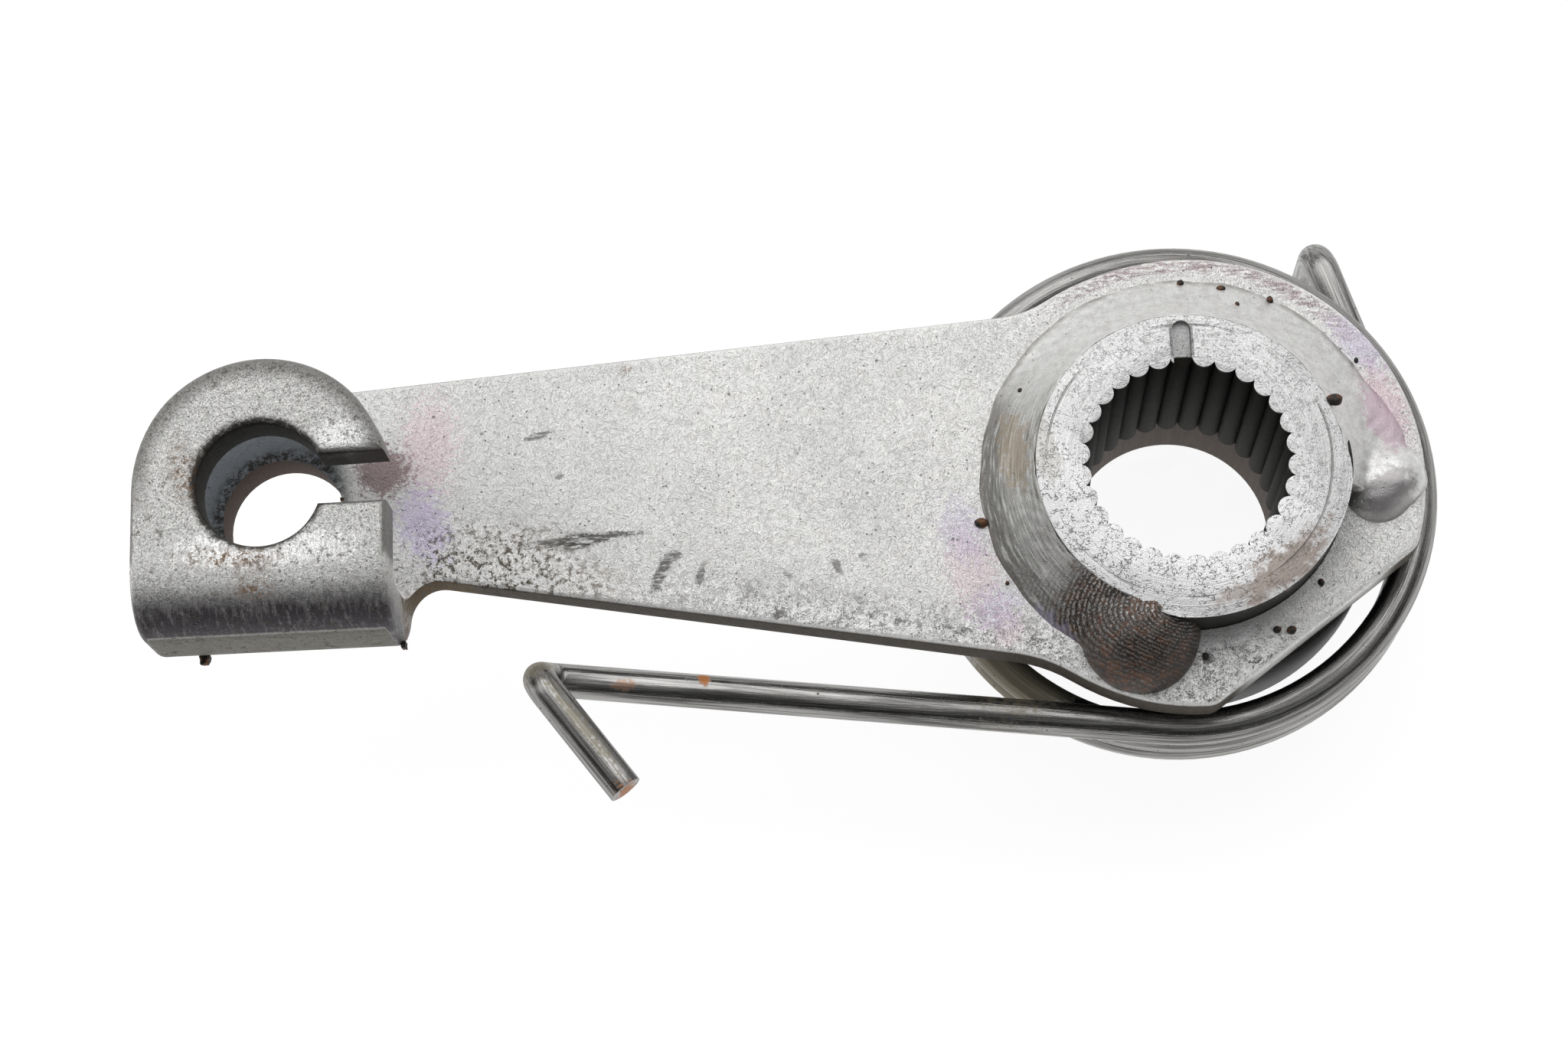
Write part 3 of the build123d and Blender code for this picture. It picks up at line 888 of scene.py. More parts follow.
@dataclass(frozen=True)
class PaleTable:
    """The table: white to the camera, with the object's shadow, deepest where it is closed in."""

    paper: Colour = (0.86, 0.86, 0.86)
    glow: float = 1.16
    shadow_share: float = 0.20
    closed_in: float = 8 * MM

    def paint(self) -> bpy.types.Material:
        """Makes the material."""
        g = Graph(bpy.data.materials.new("pale_table"))
        grain = g.cloud(g.place(), 0.02, 2.0)
        openness = g.node("AmbientOcclusion", {"samples": 8}, {"Distance": self.closed_in})
        open_floor = Field(g, openness.outputs["AO"]).over(0.0, 0.42)
        paper = g.tint(grain, self.paper, (0.88, 0.88, 0.88))
        diffuse = g.node("BsdfDiffuse", None, {"Color": g.shade(paper, open_floor)})
        white = g.shade((1.0, 1.0, 1.0), open_floor)
        light = g.node("Emission", None, {"Color": white, "Strength": self.glow})
        path = g.node("LightPath").outputs
        seen = Field(g, path["Is Camera Ray"]) + Field(g, path["Is Glossy Ray"])
        seen = (seen + Field(g, path["Is Transmission Ray"])).least(1.0)
        share = seen * (1 - self.shadow_share)
        surface = g.node("MixShader", None, {0: share, 1: diffuse.outputs[0], 2: light.outputs[0]})
        g.node("OutputMaterial", None, {"Surface": surface.outputs[0]})
        return g.owner


# --- modelling helpers ----------------------------------------------------------------------


def pick_only(piece: bpy.types.Object) -> None:
    """Selects one object and makes it active.

    Args:
        piece: The object.
    """
    bpy.ops.object.select_all(action="DESELECT")
    piece.select_set(True)
    bpy.context.view_layer.objects.active = piece


def apply_modifier(piece: bpy.types.Object, kind: str, settings: dict[str, Any]) -> None:
    """Adds a modifier and applies it.

    Args:
        piece: The object.
        kind: The modifier's type.
        settings: Its properties.
    """
    pick_only(piece)
    modifier = piece.modifiers.new(kind.lower(), kind)
    for name, value in settings.items():
        setattr(modifier, name, value)
    bpy.ops.object.modifier_apply(modifier=modifier.name)


def copy_of_node(node: str, name: str) -> bpy.types.Object:
    """A merged copy of a CAD node, to be finished.

    Args:
        node: The CAD node.
        name: The copy's name.

    Returns:
        The copy.
    """
    piece = bpy.data.objects.new(name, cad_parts[node].data.copy())
    bpy.context.scene.collection.objects.link(piece)
    piece.data.materials.clear()
    pick_only(piece)
    bpy.ops.mesh.customdata_custom_splitnormals_clear()
    bpy.ops.object.mode_set(mode="EDIT")
    bpy.ops.mesh.select_all(action="SELECT")
    bpy.ops.mesh.remove_doubles(threshold=MERGE * MM)
    bpy.ops.mesh.dissolve_limited(angle_limit=radians(FLAT_WITHIN))
    bpy.ops.object.mode_set(mode="OBJECT")
    return piece


def read_points(piece: bpy.types.Object) -> np.ndarray:
    """A mesh's vertices, in millimetres."""
    points = np.empty(len(piece.data.vertices) * 3, np.float64)
    piece.data.vertices.foreach_get("co", points)
    return points.reshape(-1, 3) / MM


def write_points(piece: bpy.types.Object, points: np.ndarray) -> None:
    """Moves a mesh's vertices."""
    piece.data.vertices.foreach_set("co", (points * MM).astype(np.float32).ravel())
    piece.data.update()


def write_attribute(piece: bpy.types.Object, name: str, values: np.ndarray) -> None:
    """Gives each vertex a number that the material reads."""
    made = piece.data.attributes.new(name, "FLOAT", "POINT")
    made.data.foreach_set("value", values.astype(np.float32))


def finish_piece(
    piece: bpy.types.Object, body: Body, material: bpy.types.Material
) -> bpy.types.Object:
    """Gives a piece its material and body, and reports it.

    Args:
        piece: The piece, in place.
        body: What it rides on.
        material: Its material.

    Returns:
        The piece.
    """
    piece.data.materials.clear()
    piece.data.materials.append(material)
    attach(piece, body.value)
    log.info("%s rides on %s, %d faces", piece.name, body.value, len(piece.data.polygons))
    return piece


def break_edges(piece: bpy.types.Object, width: float, segments: int, corner: float) -> None:
    """Rounds the corners of a piece that are sharper than an angle."""
    settings = {"width": width * MM, "segments": segments, "limit_method": "ANGLE"}
    apply_modifier(piece, "BEVEL", {**settings, "angle_limit": radians(corner)})


def add_ball(radius: float) -> bpy.types.Object:
    """Adds a ball of a radius in millimetres at the origin."""
    bpy.ops.object.select_all(action="DESELECT")
    bpy.ops.mesh.primitive_ico_sphere_add(subdivisions=3, radius=radius * MM, location=(0, 0, 0))
    return bpy.context.active_object


def lumps_at(points: np.ndarray, scale: float, seed: Point) -> np.ndarray:
    """Noise about nought at each of some points."""
    return np.array([noise.noise(Vector(point) * scale + Vector(seed)) for point in points])


def join_pieces(parts: Sequence[bpy.types.Object], name: str) -> bpy.types.Object:
    """Joins meshes into one.

    Args:
        parts: The meshes.
        name: The name of the whole.

    Returns:
        The whole.
    """
    bpy.ops.object.select_all(action="DESELECT")
    for part in parts:
        part.select_set(True)
    bpy.context.view_layer.objects.active = parts[0]
    bpy.ops.object.join()
    whole = bpy.context.active_object
    whole.name = name
    return whole


def smooth_step(low: float, high: float, value: np.ndarray) -> np.ndarray:
    """A smooth step of an array, from nought at low to one at high."""
    share = np.clip((value - low) / (high - low), 0, 1)
    return share * share * (3 - 2 * share)


# --- the lever's own pieces -----------------------------------------------------------------


@dataclass
class PressedArm:
    """The pressed arm, with its edges broken as tumbling leaves them."""

    edge_break: float = 0.16
    rim_lift: float = 0.35
    lip_lift: tuple[float, float] = (0.4, 0.1)
    hub_shift: tuple[float, float] = (0.35, -0.3)
    burrs: tuple[tuple[Point, Point], ...] = (
        ((-65.6, -9.1, 15.6), (0.36, 0.55, 0.42)),
        ((-52.1, -9.2, 16.6), (0.20, 0.26, 0.45)),
        ((-56.3, 1.2, 16.1), (0.14, 0.12, 0.3)),
    )
    finish: PlatedSheet = field(default_factory=PlatedSheet)

    def build(self) -> bpy.types.Object:
        """Copies the CAD arm and breaks its edges.

        Returns:
            The arm.
        """
        arm = copy_of_node("lever_arm", "lever_arm_plated")
        self.draw_outline(arm)
        break_edges(arm, self.edge_break, 3, 34)
        bpy.ops.object.shade_smooth_by_angle(angle=radians(38))
        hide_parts("lever_arm")
        return arm

    def draw_outline(self, arm: bpy.types.Object) -> None:
        """Draws the eye's rim, the cable slot and the hub out to the pressed part's outline.

        Args:
            arm: The arm, before its edges are broken.
        """
        points = read_points(arm)
        x, y, z = points.T
        from_eye = np.hypot(x + EYE_REACH, y)
        rim = smooth_step(-51.0, -53.0, x) * smooth_step(4.6, 7.0, from_eye)
        lift = self.rim_lift * rim * smooth_step(0.0, 6.0, y)
        front = smooth_step(20.0, 21.0, z) * smooth_step(-57.5, -56.0, x) * (x < -51.0)
        upper_lip = smooth_step(0.6, 1.4, y) * smooth_step(4.5, 1.7, y)
        lower_lip = smooth_step(-0.6, -1.4, y) * smooth_step(-4.0, -1.7, y)
        reach = np.hypot(x, y)
        hub = smooth_step(-13.0, -3.0, x) * smooth_step(11.2, 12.8, reach)
        left = rim * smooth_step(-62.0, -68.0, x)
        points[:, 0] += self.hub_shift[0] * hub - 0.1 * left
        lips = self.lip_lift[0] * upper_lip + self.lip_lift[1] * lower_lip
        points[:, 1] += lift + front * lips + self.hub_shift[1] * hub
        write_points(arm, points)

    def burr(self) -> bpy.types.Object:
        """Models the torn burrs that the press left under the fold and in the slot.

        Returns:
            The burrs, as one piece.
        """
        tears = []
        for index, (place, radii) in enumerate(self.burrs):
            tear = add_ball(1.0)
            points = read_points(tear)
            lumps = lumps_at(points, 1.9, (0, index, 5))
            points = np.sign(points) * np.abs(points) ** 0.7 * (1 + 0.35 * lumps)[:, None]
            write_points(tear, points * np.array(radii) + np.array(place))
            tears.append(tear)
        burrs = join_pieces(tears, "fold_burrs")
        bpy.ops.object.shade_smooth_by_angle(angle=radians(35))
        return burrs

    def dress(self, arm: bpy.types.Object, burrs: bpy.types.Object) -> None:
        """Plates the arm and blackens its burrs."""
        finish_piece(arm, Body.LEVER, self.finish.paint())
        finish_piece(burrs, Body.LEVER, BurntSpatter("torn_burr").paint())


@dataclass
class TurnedBoss:
    """The splined boss, with its turned corners broken."""

    edge_break: float = 0.09
    spigot: float = 10.65
    side_melt: float = 1.2
    slot_depth: float = 0.9
    slot_lift: float = 0.4
    finish: TurnedSteel = field(default_factory=TurnedSteel)

    def build(self) -> bpy.types.Object:
        """Copies the CAD boss and breaks its edges.

        Returns:
            The boss.
        """
        boss = copy_of_node("splined_boss", "splined_boss_turned")
        self.ease_corner(boss)
        break_edges(boss, self.edge_break, 2, 40)
        bpy.ops.object.shade_smooth_by_angle(angle=radians(32))
        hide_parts("splined_boss")
        return boss

    def ease_corner(self, boss: bpy.types.Object) -> None:
        """Lets the melted corner run out at both ends of the weld, and lifts the slot's floor.

        Args:
            boss: The boss, before its edges are broken.
        """
        points = read_points(boss)
        reach = np.hypot(points[:, 0], points[:, 1])
        turn = np.degrees(np.arctan2(points[:, 1], points[:, 0]))
        turn = np.where(turn < WELD_START - 1.5, turn + 360, turn)
        run_out = smooth_step(WELD_END - 18, WELD_END, turn) * (turn < WELD_END + 1)
        run_in = smooth_step(WELD_START + 24, WELD_START, turn)
        back = np.maximum(run_out, run_in) * 0.95
        inside = (reach > self.spigot - 0.9) & (reach < self.spigot - 0.4)
        top = inside & (points[:, 2] > BOSS_FACE - 0.1)
        side = (reach > self.spigot - 0.2) & (abs(points[:, 2] - BOSS_FACE + self.side_melt) < 0.2)
        outward = points[:, :2] / np.maximum(reach, 0.1)[:, None]
        points[:, :2] += outward * (top * back * (self.spigot - reach))[:, None]
        points[:, 2] += side * back * (BOSS_FACE - points[:, 2])
        slot_floor = (abs(points[:, 0]) < 1.2) & (points[:, 1] > 6.0) & (reach < 9.8)
        slot_floor &= abs(points[:, 2] - BOSS_FACE + self.slot_depth) < 0.05
        points[:, 2] += slot_floor * self.slot_lift
        write_points(boss, points)

    def dress(self, boss: bpy.types.Object) -> None:
        """Gives the boss its turned finish."""
        finish_piece(boss, Body.LEVER, self.finish.paint())


@dataclass(frozen=True)
class WeldEnd:
    """The rounded pool at one end of the weld.

    Attributes:
        angle: Its place round the bore, in degrees.
        distance: How far its middle is from the bore's axis, in millimetres.
        radii: Its half sizes outward, along the weld and upward.
        top: The level of its top.
    """

    angle: float
    distance: float
    radii: Point
    top: float

    def middle(self) -> Point:
        """The middle of the ball that it is cut from, in millimetres."""
        turn = radians(self.angle)
        return self.distance * cos(turn), self.distance * sin(turn), self.top - self.radii[2]


@dataclass
class WeldSeam:
    """The weld: one hollow bead with its start pool, its crater and the spatter round it."""

    toe_radius: float = 13.7
    face_radius: float = 9.95
    hollow: float = 0.32
    sunk: float = 0.35
    section_points: int = 14
    crater: WeldEnd = WeldEnd(251.0, 11.3, (4.2, 3.9, 3.9), 19.85)
    pool: WeldEnd = WeldEnd(-6.0, 12.6, (2.5, 2.9, 2.2), 17.75)
    voxel: float = 0.15
    mean_radius: float = 11.8
    bow: float = 2.6
    wave_pitch: float = 1.35
    crater_fade: tuple[float, float] = (3.2, 8.0)
    crater_turn: float = 14.0
    face_clearance: float = 0.03
    droplets: tuple[Point, ...] = (
        (0.6, 13.3, 0.24),
        (3.3, 12.7, 0.26),
        (6.5, 11.8, 0.26),
        (4.2, 11.3, 0.20),
        (5.2, -10.9, 0.24),
        (6.1, -11.0, 0.27),
        (0.4, -12.5, 0.26),
        (8.3, -7.9, 0.26),
        (-13.7, -2.7, 0.34),
        (-10.6, 6.1, 0.16),
        (11.9, 7.3, 0.20),
        (-12.2, -6.9, 0.15),
    )
    pearl: Point = (9.75, 3.55, 0.42)
    drop_heights: tuple[float, float] = (0.5, 0.72)
    finish: WeldMetal = field(default_factory=WeldMetal)

    def section(self) -> list[tuple[float, float]]:
        """The bead's section, as radius and level.

        Returns:
            Its corners, from under the toe round to the root.
        """
        toe = Vector((self.toe_radius, PLATE_FACE))
        lip = Vector((self.face_radius, BOSS_FACE))
        inward = Vector((lip.x - self.toe_radius, PLATE_FACE - lip.y)).normalized()
        line = [(self.toe_radius, PLATE_FACE - self.sunk)]
        for index in range(self.section_points):
            share = index / (self.section_points - 1)
            point = toe.lerp(lip, share) + inward * (self.hollow * sin(pi * share))
            line.append((point.x, point.y))
        line.append((self.face_radius - 0.3, BOSS_FACE - 0.25))
        line.append((self.face_radius - 0.3, PLATE_FACE - self.sunk))
        return line

    def build(self) -> bpy.types.Object:
        """Spins the bead, adds its pool and crater, and melts them together.

        Returns:
            The bead.
        """
        section = self.section()
        start = radians(WELD_START)
        bpy.ops.object.select_all(action="DESELECT")
        bpy.ops.mesh.primitive_circle_add(
            vertices=len(section), radius=MM, fill_type="NGON", location=(0, 0, 0)
        )
        bead = bpy.context.active_object
        bead.name = "weld_bead_rippled"
        ring = [(r * cos(start), r * sin(start), z) for r, z in section]
        write_points(bead, np.array(ring))
        bpy.ops.object.mode_set(mode="EDIT")
        bpy.ops.mesh.select_all(action="SELECT")
        bpy.ops.mesh.spin(
            steps=136,
            angle=radians(WELD_START - WELD_END),
            center=(0, 0, 0),
            axis=(0, 0, 1),
        )
        for pool in (self.crater, self.pool):
            bpy.ops.mesh.select_all(action="DESELECT")
            bpy.ops.mesh.primitive_uv_sphere_add(
                segments=40,
                ring_count=24,
                radius=MM,
                location=[part * MM for part in pool.middle()],
                rotation=(0, 0, radians(pool.angle)),
                scale=pool.radii,
            )
            bpy.ops.mesh.bisect(
                plane_co=(0, 0, (PLATE_FACE - self.sunk) * MM),
                plane_no=(0, 0, 1),
                use_fill=True,
                clear_inner=True,
            )
        bpy.ops.mesh.select_all(action="SELECT")
        bpy.ops.mesh.normals_make_consistent(inside=False)
        bpy.ops.object.mode_set(mode="OBJECT")
        apply_modifier(
            bead,
            "REMESH",
            {"mode": "VOXEL", "voxel_size": self.voxel * MM, "use_smooth_shade": True},
        )
        apply_modifier(bead, "SMOOTH", {"factor": 0.5, "iterations": 7})
        self.work_surface(bead)
        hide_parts("weld_bead")
        return bead

    def work_surface(self, bead: bpy.types.Object) -> None:
        """Moves the surface as the arc left it, and stores where each point lies on the weld.

        Args:
            bead: The bead.
        """
        points = read_points(bead)
        reach = np.hypot(points[:, 0], points[:, 1])
        angle = np.degrees(np.arctan2(points[:, 1], points[:, 0]))
        angle = np.where(angle < WELD_START - 14, angle + 360, angle)
        rise = np.degrees(np.arctan2(points[:, 2] - PLATE_FACE, reach - self.face_radius))
        across = np.clip(rise / 45 - 1, -1, 1)
        length = np.radians(angle - WELD_START) * self.mean_radius
        travel = length + self.bow * np.sqrt(np.clip(1 - across**2, 0, 1))
        middle = self.crater.middle()
        back = points[:, 0] - middle[0], points[:, 1] - middle[1]
        crater = 1 - smooth_step(*self.crater_fade, np.hypot(*back))
        heading = radians(self.crater.angle - 90 + self.crater_turn)
        lengthwise = back[0] * cos(heading) + back[1] * sin(heading)
        aside = back[1] * cos(heading) - back[0] * sin(heading)
        nest = np.hypot((lengthwise + 2.2) / 1.5, aside + 0.8)

        outward = points[:, :2] / reach[:, None]
        toe = smooth_step(11.4, 13.4, reach)
        shown = smooth_step(PLATE_FACE - 0.3, PLATE_FACE + 0.1, points[:, 2])
        wander = np.array([noise.noise((a * 0.11, 3.1, 0.4)) for a in angle])
        widen = smooth_step(28, 6, angle) * smooth_step(-14, -4, angle)
        shift = toe * (wander * 0.16 + widen)
        points[:, :2] += outward * shift[:, None]
        lump = lumps_at(points, 0.5, (0, 0, 0))
        waves = np.sin(travel * tau / self.wave_pitch + lump * 3.0)
        points[:, 2] += shown * (lump * 0.10 + waves * (0.015 + 0.02 * crater)) * (1 - toe * 0.6)
        limit = BOSS_FACE + self.face_clearance + 0.3 * crater
        points[:, 2] = np.minimum(points[:, 2], limit)
        write_points(bead, points)
        stored = {"travel": travel, "across": across, "crater": crater, "nest": nest}
        for name, values in stored.items():
            write_attribute(bead, name, values)

    def surface_level(self, x: float, y: float) -> float:
        """The level of the plate or the bead at a place.

        Args:
            x: Along the arm, in millimetres.
            y: Across it.

        Returns:
            The level, in millimetres.
        """
        reach = hypot(x, y)
        angle = degrees(atan2(y, x)) % 360
        if 264 < angle < 346 or reach > self.toe_radius:
            return PLATE_FACE
        share = (self.toe_radius - reach) / (self.toe_radius - self.face_radius)
        sag = self.hollow * 1.4 * sin(pi * share)
        return PLATE_FACE + share * (BOSS_FACE - PLATE_FACE) - sag

    def scatter(self) -> bpy.types.Object:
        """Models the spatter: flattened droplets, each sunk a little into what it fell on.

        Returns:
            The droplets, as one piece.
        """
        drops = []
        for index, (x, y, radius) in enumerate((*self.droplets, self.pearl)):
            level = self.surface_level(x, y)
            if index == len(self.droplets):
                level = BOSS_FACE - 0.05
            drop = add_ball(radius)
            points = read_points(drop)
            points *= (1 + 0.22 * lumps_at(points, 3.1, (index, 0, 0)))[:, None]
            points[:, 0] *= 1 + 0.25 * sin(index * 1.7)
            points[:, 2] *= np.where(points[:, 2] < 0, *self.drop_heights)
            points += np.array((x, y, level + radius * 0.2))
            write_points(drop, points)
            drops.append(drop)
        spatter = join_pieces(drops, "weld_spatter")
        bpy.ops.object.shade_smooth()
        return spatter

    def dress(self, bead: bpy.types.Object, spatter: bpy.types.Object) -> None:
        """Gives the bead and the spatter their finishes."""
        finish_piece(bead, Body.LEVER, self.finish.paint())
        finish_piece(spatter, Body.LEVER, BurntSpatter().paint())


@dataclass
class CoiledSpring:
    """The return spring: one wire along its coil and both of its legs."""

    wire_radius: float = 1.15
    coil_centre: tuple[float, float] = (-0.38, 0.33)
    coil_radius: float = 16.55
    coil_pitch: float = 2.4
    coil_front: float = 11.8
    turns: int = 3
    step_angle: float = 3.0
    long_leg_heading: float = 172.95
    long_leg_length: float = 41.06
    short_leg_heading: float = 106.5
    short_leg_length: float = 14.39
    short_end_depth: float = 8.5
    bend_radius: float = 1.6
    least_run: float = 0.05
    hook_shift: Point = (-0.3, -0.65, 3.2)
    hook_heading: float = -53.5
    hook_length: float = 9.6
    sides: int = 28
    end_break: float = 0.12
    finish: SpringWire = field(default_factory=SpringWire)

    def coil_line(self) -> list[Vector]:
        """The coil's own line, from its front end to its rear end.

        Returns:
            Points three degrees apart, in millimetres.
        """
        first = self.long_leg_heading + 90
        last = self.short_leg_heading - 90 + 360 * self.turns
        steps = round((last - first) / self.step_angle)
        line = []
        for step in range(steps + 1):
            angle = first + (last - first) * step / steps
            drop = (angle - first) / 360 * self.coil_pitch
            turn = radians(angle)
            x = self.coil_centre[0] + self.coil_radius * cos(turn)
            y = self.coil_centre[1] + self.coil_radius * sin(turn)
            line.append(Vector((x, y, self.coil_front - drop)))
        return line

    def bend(self, before: Vector, corner: Vector, after: Vector) -> list[Vector]:
        """The points of one rounded corner.

        Args:
            before: A point on the run that comes in.
            corner: Where the two runs would meet.
            after: A point on the run that goes out.

        Returns:
            Points along the arc.
        """
        back = (before - corner).normalized()
        ahead = (after - corner).normalized()
        half = back.angle(ahead) / 2
        run = self.bend_radius / tan(half)
        centre = corner + (back + ahead).normalized() * (self.bend_radius / sin(half))
        from_centre = corner + back * run - centre
        to_centre = corner + ahead * run - centre
        turn = from_centre.angle(to_centre)
        axis = from_centre.cross(to_centre).normalized()
        count = max(6, round(degrees(turn) / 9))
        return [
            centre + Matrix.Rotation(turn * index / count, 3, axis) @ from_centre
            for index in range(count + 1)
        ]

    @staticmethod
    def run(start: Vector, end: Vector, gap: float = 0.9) -> list[Vector]:
        """Points along a straight run, without its two ends."""
        count = max(1, round((end - start).length / gap))
        return [start.lerp(end, index / count) for index in range(1, count)]

    def wire_line(self) -> list[Vector]:
        """The whole wire's line, from the hook's tip to the short end.

        Returns:
            Points in millimetres.
        """
        coil = self.coil_line()
        slope = self.coil_pitch / (tau * self.coil_radius)
        heading = radians(self.long_leg_heading)
        ahead = Vector((cos(heading), sin(heading), slope)).normalized()
        elbow = coil[0] + ahead * self.long_leg_length
        knuckle = elbow + Vector(self.hook_shift)
        turn = radians(self.hook_heading)
        tip = knuckle + Vector((cos(turn), sin(turn), 0)) * self.hook_length
        heading = radians(self.short_leg_heading)
        behind = Vector((cos(heading), sin(heading), -slope)).normalized()
        corner = coil[-1] + behind * self.short_leg_length
        end = corner - Vector((0, 0, self.short_end_depth))

        first = self.bend(tip, knuckle, elbow)
        second = self.bend(knuckle, elbow, coil[0])
        third = self.bend(coil[-1], corner, end)
        line = [tip, *self.run(tip, first[0]), *first]
        if (second[0] - first[-1]).length > self.least_run:
            line += self.run(first[-1], second[0])
        line += [*second, *self.run(second[-1], coil[0]), *coil]
        line += [*self.run(coil[-1], third[0]), *third, *self.run(third[-1], end), end]
        return line

    def build(self) -> bpy.types.Object:
        """Sweeps the wire along its line.

        Returns:
            The spring.
        """
        line = self.wire_line()
        curve = bpy.data.curves.new("wire_line", "CURVE")
        curve.dimensions = "3D"
        curve.bevel_depth = self.wire_radius * MM
        curve.bevel_resolution = (self.sides - 4) // 2
        curve.use_fill_caps = True
        spline = curve.splines.new("POLY")
        spline.points.add(len(line) - 1)
        for point, place in zip(spline.points, line):
            point.co = (*(place * MM), 1.0)
        spring = bpy.data.objects.new("return_spring_wire", curve)
        bpy.context.scene.collection.objects.link(spring)
        pick_only(spring)
        bpy.ops.object.convert(target="MESH")
        spring = bpy.context.active_object
        spring.name = "return_spring_wire"
        bpy.ops.object.mode_set(mode="EDIT")
        bpy.ops.mesh.select_all(action="SELECT")
        bpy.ops.mesh.remove_doubles(threshold=MERGE * MM)
        bpy.ops.mesh.normals_make_consistent(inside=False)
        bpy.ops.object.mode_set(mode="OBJECT")
        self.store_place(spring, line)
        break_edges(spring, self.end_break, 2, 50)
        bpy.ops.object.shade_smooth_by_angle(angle=radians(40))
        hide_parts("return_spring")
        return spring

    def store_place(self, spring: bpy.types.Object, line: list[Vector]) -> None:
        """Stores how far along the wire each point lies, and where round it.

        Args:
            spring: The swept wire.
            line: The wire's own line.
        """
        points = read_points(spring)
        middles = np.array([tuple(p) for p in line])
        steps = np.linalg.norm(np.diff(middles, axis=0), axis=1)
        lengths = np.concatenate(([0.0], np.cumsum(steps)))
        nearest = np.array([int(np.argmin(((middles - p) ** 2).sum(1))) for p in points])
        away = points - middles[nearest]
        outward = middles[nearest].copy()
        outward[:, 2] = 0
        outward /= np.linalg.norm(outward, axis=1)[:, None]
        write_attribute(spring, "along", lengths[nearest])
        write_attribute(spring, "round_up", away[:, 2])
        write_attribute(spring, "round_out", (away * outward).sum(1))

    def dress(self, spring: bpy.types.Object) -> None:
        """Gives the wire its finish."""
        finish_piece(spring, Body.SPRING, self.finish.paint())


# --- the set --------------------------------------------------------------------------------


@dataclass(frozen=True)
class Lamp:
    """One soft lamp.

    Attributes:
        name: Its name.
        at: Where it hangs, in metres.
        size: Its side lengths, in metres.
        power: In watts.
    """

    name: str
    at: Point
    size: tuple[float, float]
    power: float


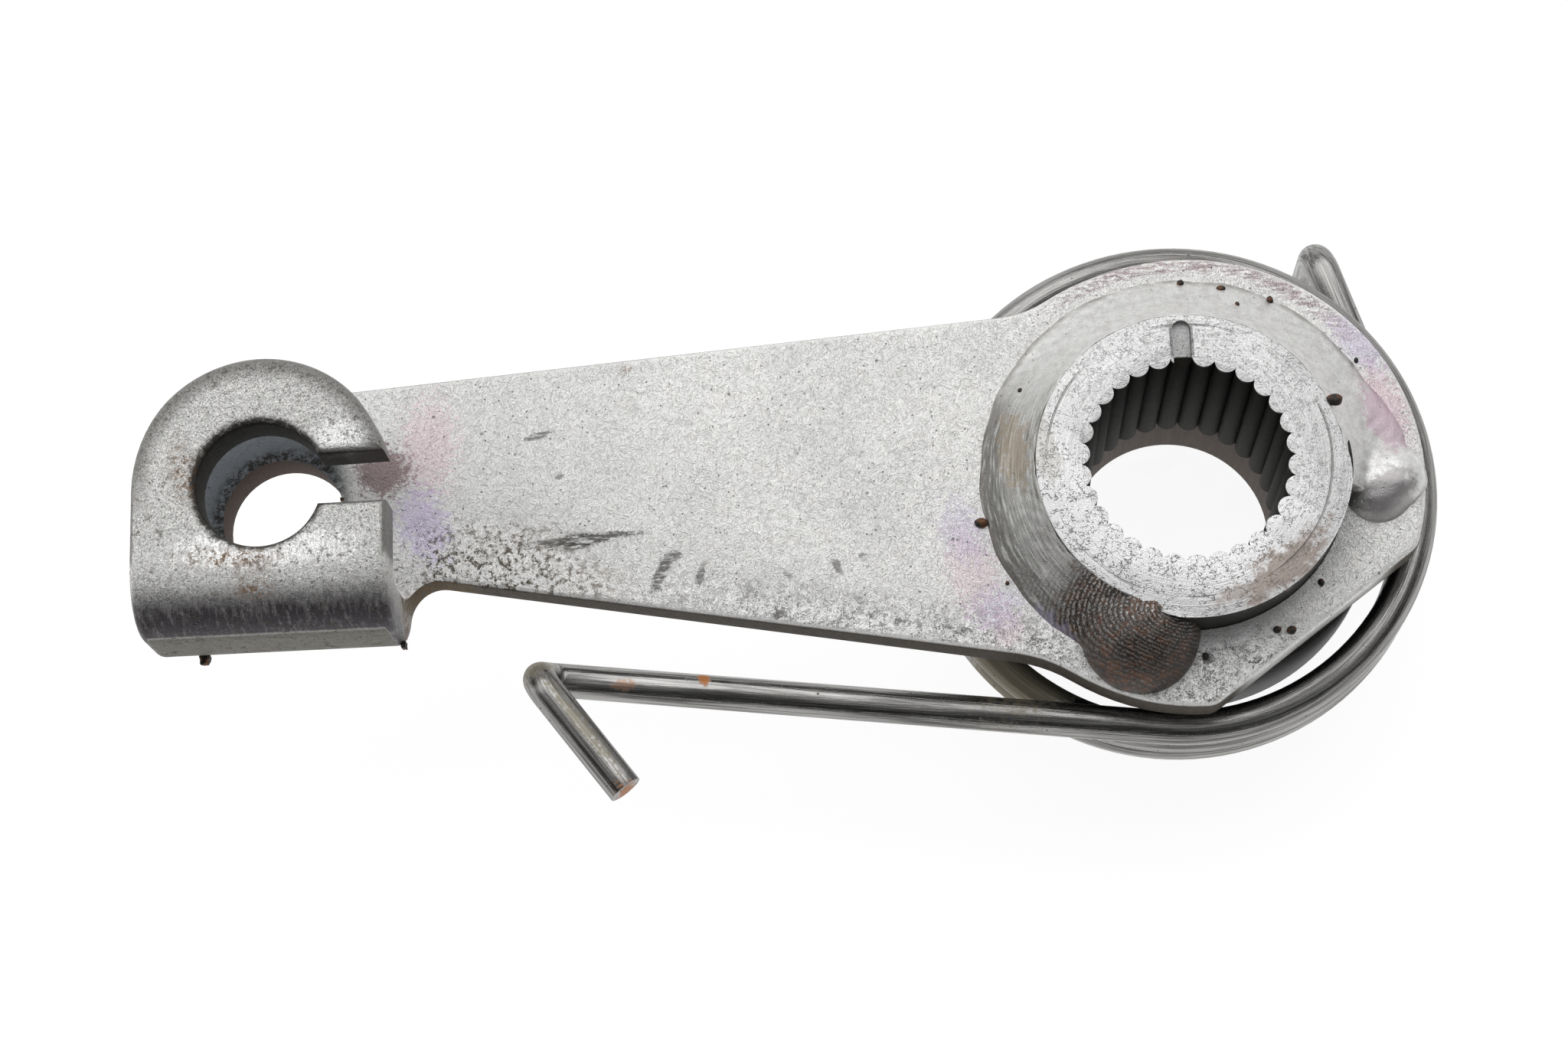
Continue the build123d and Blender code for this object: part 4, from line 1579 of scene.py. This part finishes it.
@dataclass
class Stand:
    """The table, the lamps, the surroundings and the camera."""

    aim: Point = (-0.025, 0.0, 0.012)
    floor_size: float = 3.0
    wall_radius: float = 1.4
    wall_height: float = 0.33
    bright_way: Point = (0.0, 0.5, 0.86)
    bright_spread: tuple[float, float] = (0.15, 0.95)
    bright: float = 0.46
    dim: float = 0.035
    lamps: tuple[Lamp, ...] = (
        Lamp("softbox_over", (-0.03, 0.27, 0.45), (0.80, 0.42), 1.70),
        Lamp("softbox_left", (-0.52, 0.10, 0.30), (0.30, 0.40), 0.40),
    )
    lens: float = 71.76
    sensor: float = 36.0
    clip: tuple[float, float] = (0.01, 20.0)
    camera_at: Point = (-0.01922, -0.05884, 0.21581)
    camera_right: Point = (0.9981, -0.03812, -0.04843)
    camera_up: Point = (0.0499, 0.961, 0.272)
    camera_back: Point = (0.03618, -0.2739, 0.96108)

    def build_table(self) -> None:
        """Lays the table under the part, with a low pale wall all round it."""
        low = cad_box[0].z
        bpy.ops.object.select_all(action="DESELECT")
        bpy.ops.mesh.primitive_grid_add(
            x_subdivisions=12, y_subdivisions=12, size=self.floor_size, location=(0, 0, 0)
        )
        table = bpy.context.active_object
        table.name = "table"
        for vertex in table.data.vertices:
            vertex.co.z = low
        bpy.ops.object.select_all(action="DESELECT")
        bpy.ops.mesh.primitive_cylinder_add(
            vertices=96,
            radius=self.wall_radius,
            depth=self.wall_height,
            end_fill_type="NOTHING",
            location=(0, 0, low + self.wall_height / 2),
        )
        wall = bpy.context.active_object
        wall.name = "backdrop"
        pale = PaleTable().paint()
        for piece in (table, wall):
            piece.data.materials.append(pale)

    def hang_lamps(self) -> None:
        """Hangs the soft lamps, each turned to the part."""
        for lamp in self.lamps:
            light = bpy.data.lights.new(lamp.name, "AREA")
            light.shape = "RECTANGLE"
            light.size, light.size_y = lamp.size
            light.energy = lamp.power
            hung = bpy.data.objects.new(lamp.name, light)
            hung.location = lamp.at
            away = Vector(lamp.at) - Vector(self.aim)
            hung.rotation_euler = away.to_track_quat("Z", "Y").to_euler()
            bpy.context.scene.collection.objects.link(hung)

    def set_surround(self) -> None:
        """Lights the part softly from above and behind, with a dim room all round."""
        world = bpy.data.worlds.new("studio")
        bpy.context.scene.world = world
        g = Graph(world)
        way = Field(g, g.node("TexCoord").outputs["Generated"])
        x, y, z = g.split(way)
        ahead = x * self.bright_way[0] + y * self.bright_way[1] + z * self.bright_way[2]
        glow = ahead.over(*self.bright_spread) * (self.bright - self.dim) + self.dim
        room = g.node("Background", None, {"Color": g.shade((1.0, 1.0, 1.01), glow)})
        g.node("OutputWorld", None, {"Surface": room.outputs[0]})

    def place_camera(self) -> None:
        """Places the camera where the photograph was taken."""
        data = bpy.data.cameras.new("photo_camera")
        data.lens = self.lens
        data.sensor_width = self.sensor
        data.clip_start, data.clip_end = self.clip
        camera = bpy.data.objects.new("photo_camera", data)
        axes = Matrix((self.camera_right, self.camera_up, self.camera_back)).transposed()
        camera.matrix_world = Matrix.Translation(self.camera_at) @ axes.to_4x4()
        bpy.context.scene.collection.objects.link(camera)
        bpy.context.scene.camera = camera

    def build(self) -> None:
        """Sets everything up."""
        self.build_table()
        self.hang_lamps()
        self.set_surround()
        self.place_camera()
        settings = bpy.context.scene.view_settings
        settings.view_transform = "Standard"


def main() -> None:
    """Builds and dresses each piece, then the set."""
    logging.basicConfig(level=logging.INFO, format="%(name)s: %(message)s")
    arm = PressedArm()
    arm.dress(arm.build(), arm.burr())
    boss = TurnedBoss()
    boss.dress(boss.build())
    weld = WeldSeam()
    weld.dress(weld.build(), weld.scatter())
    spring = CoiledSpring()
    spring.dress(spring.build())
    Stand().build()


if __name__ == "__main__":
    main()
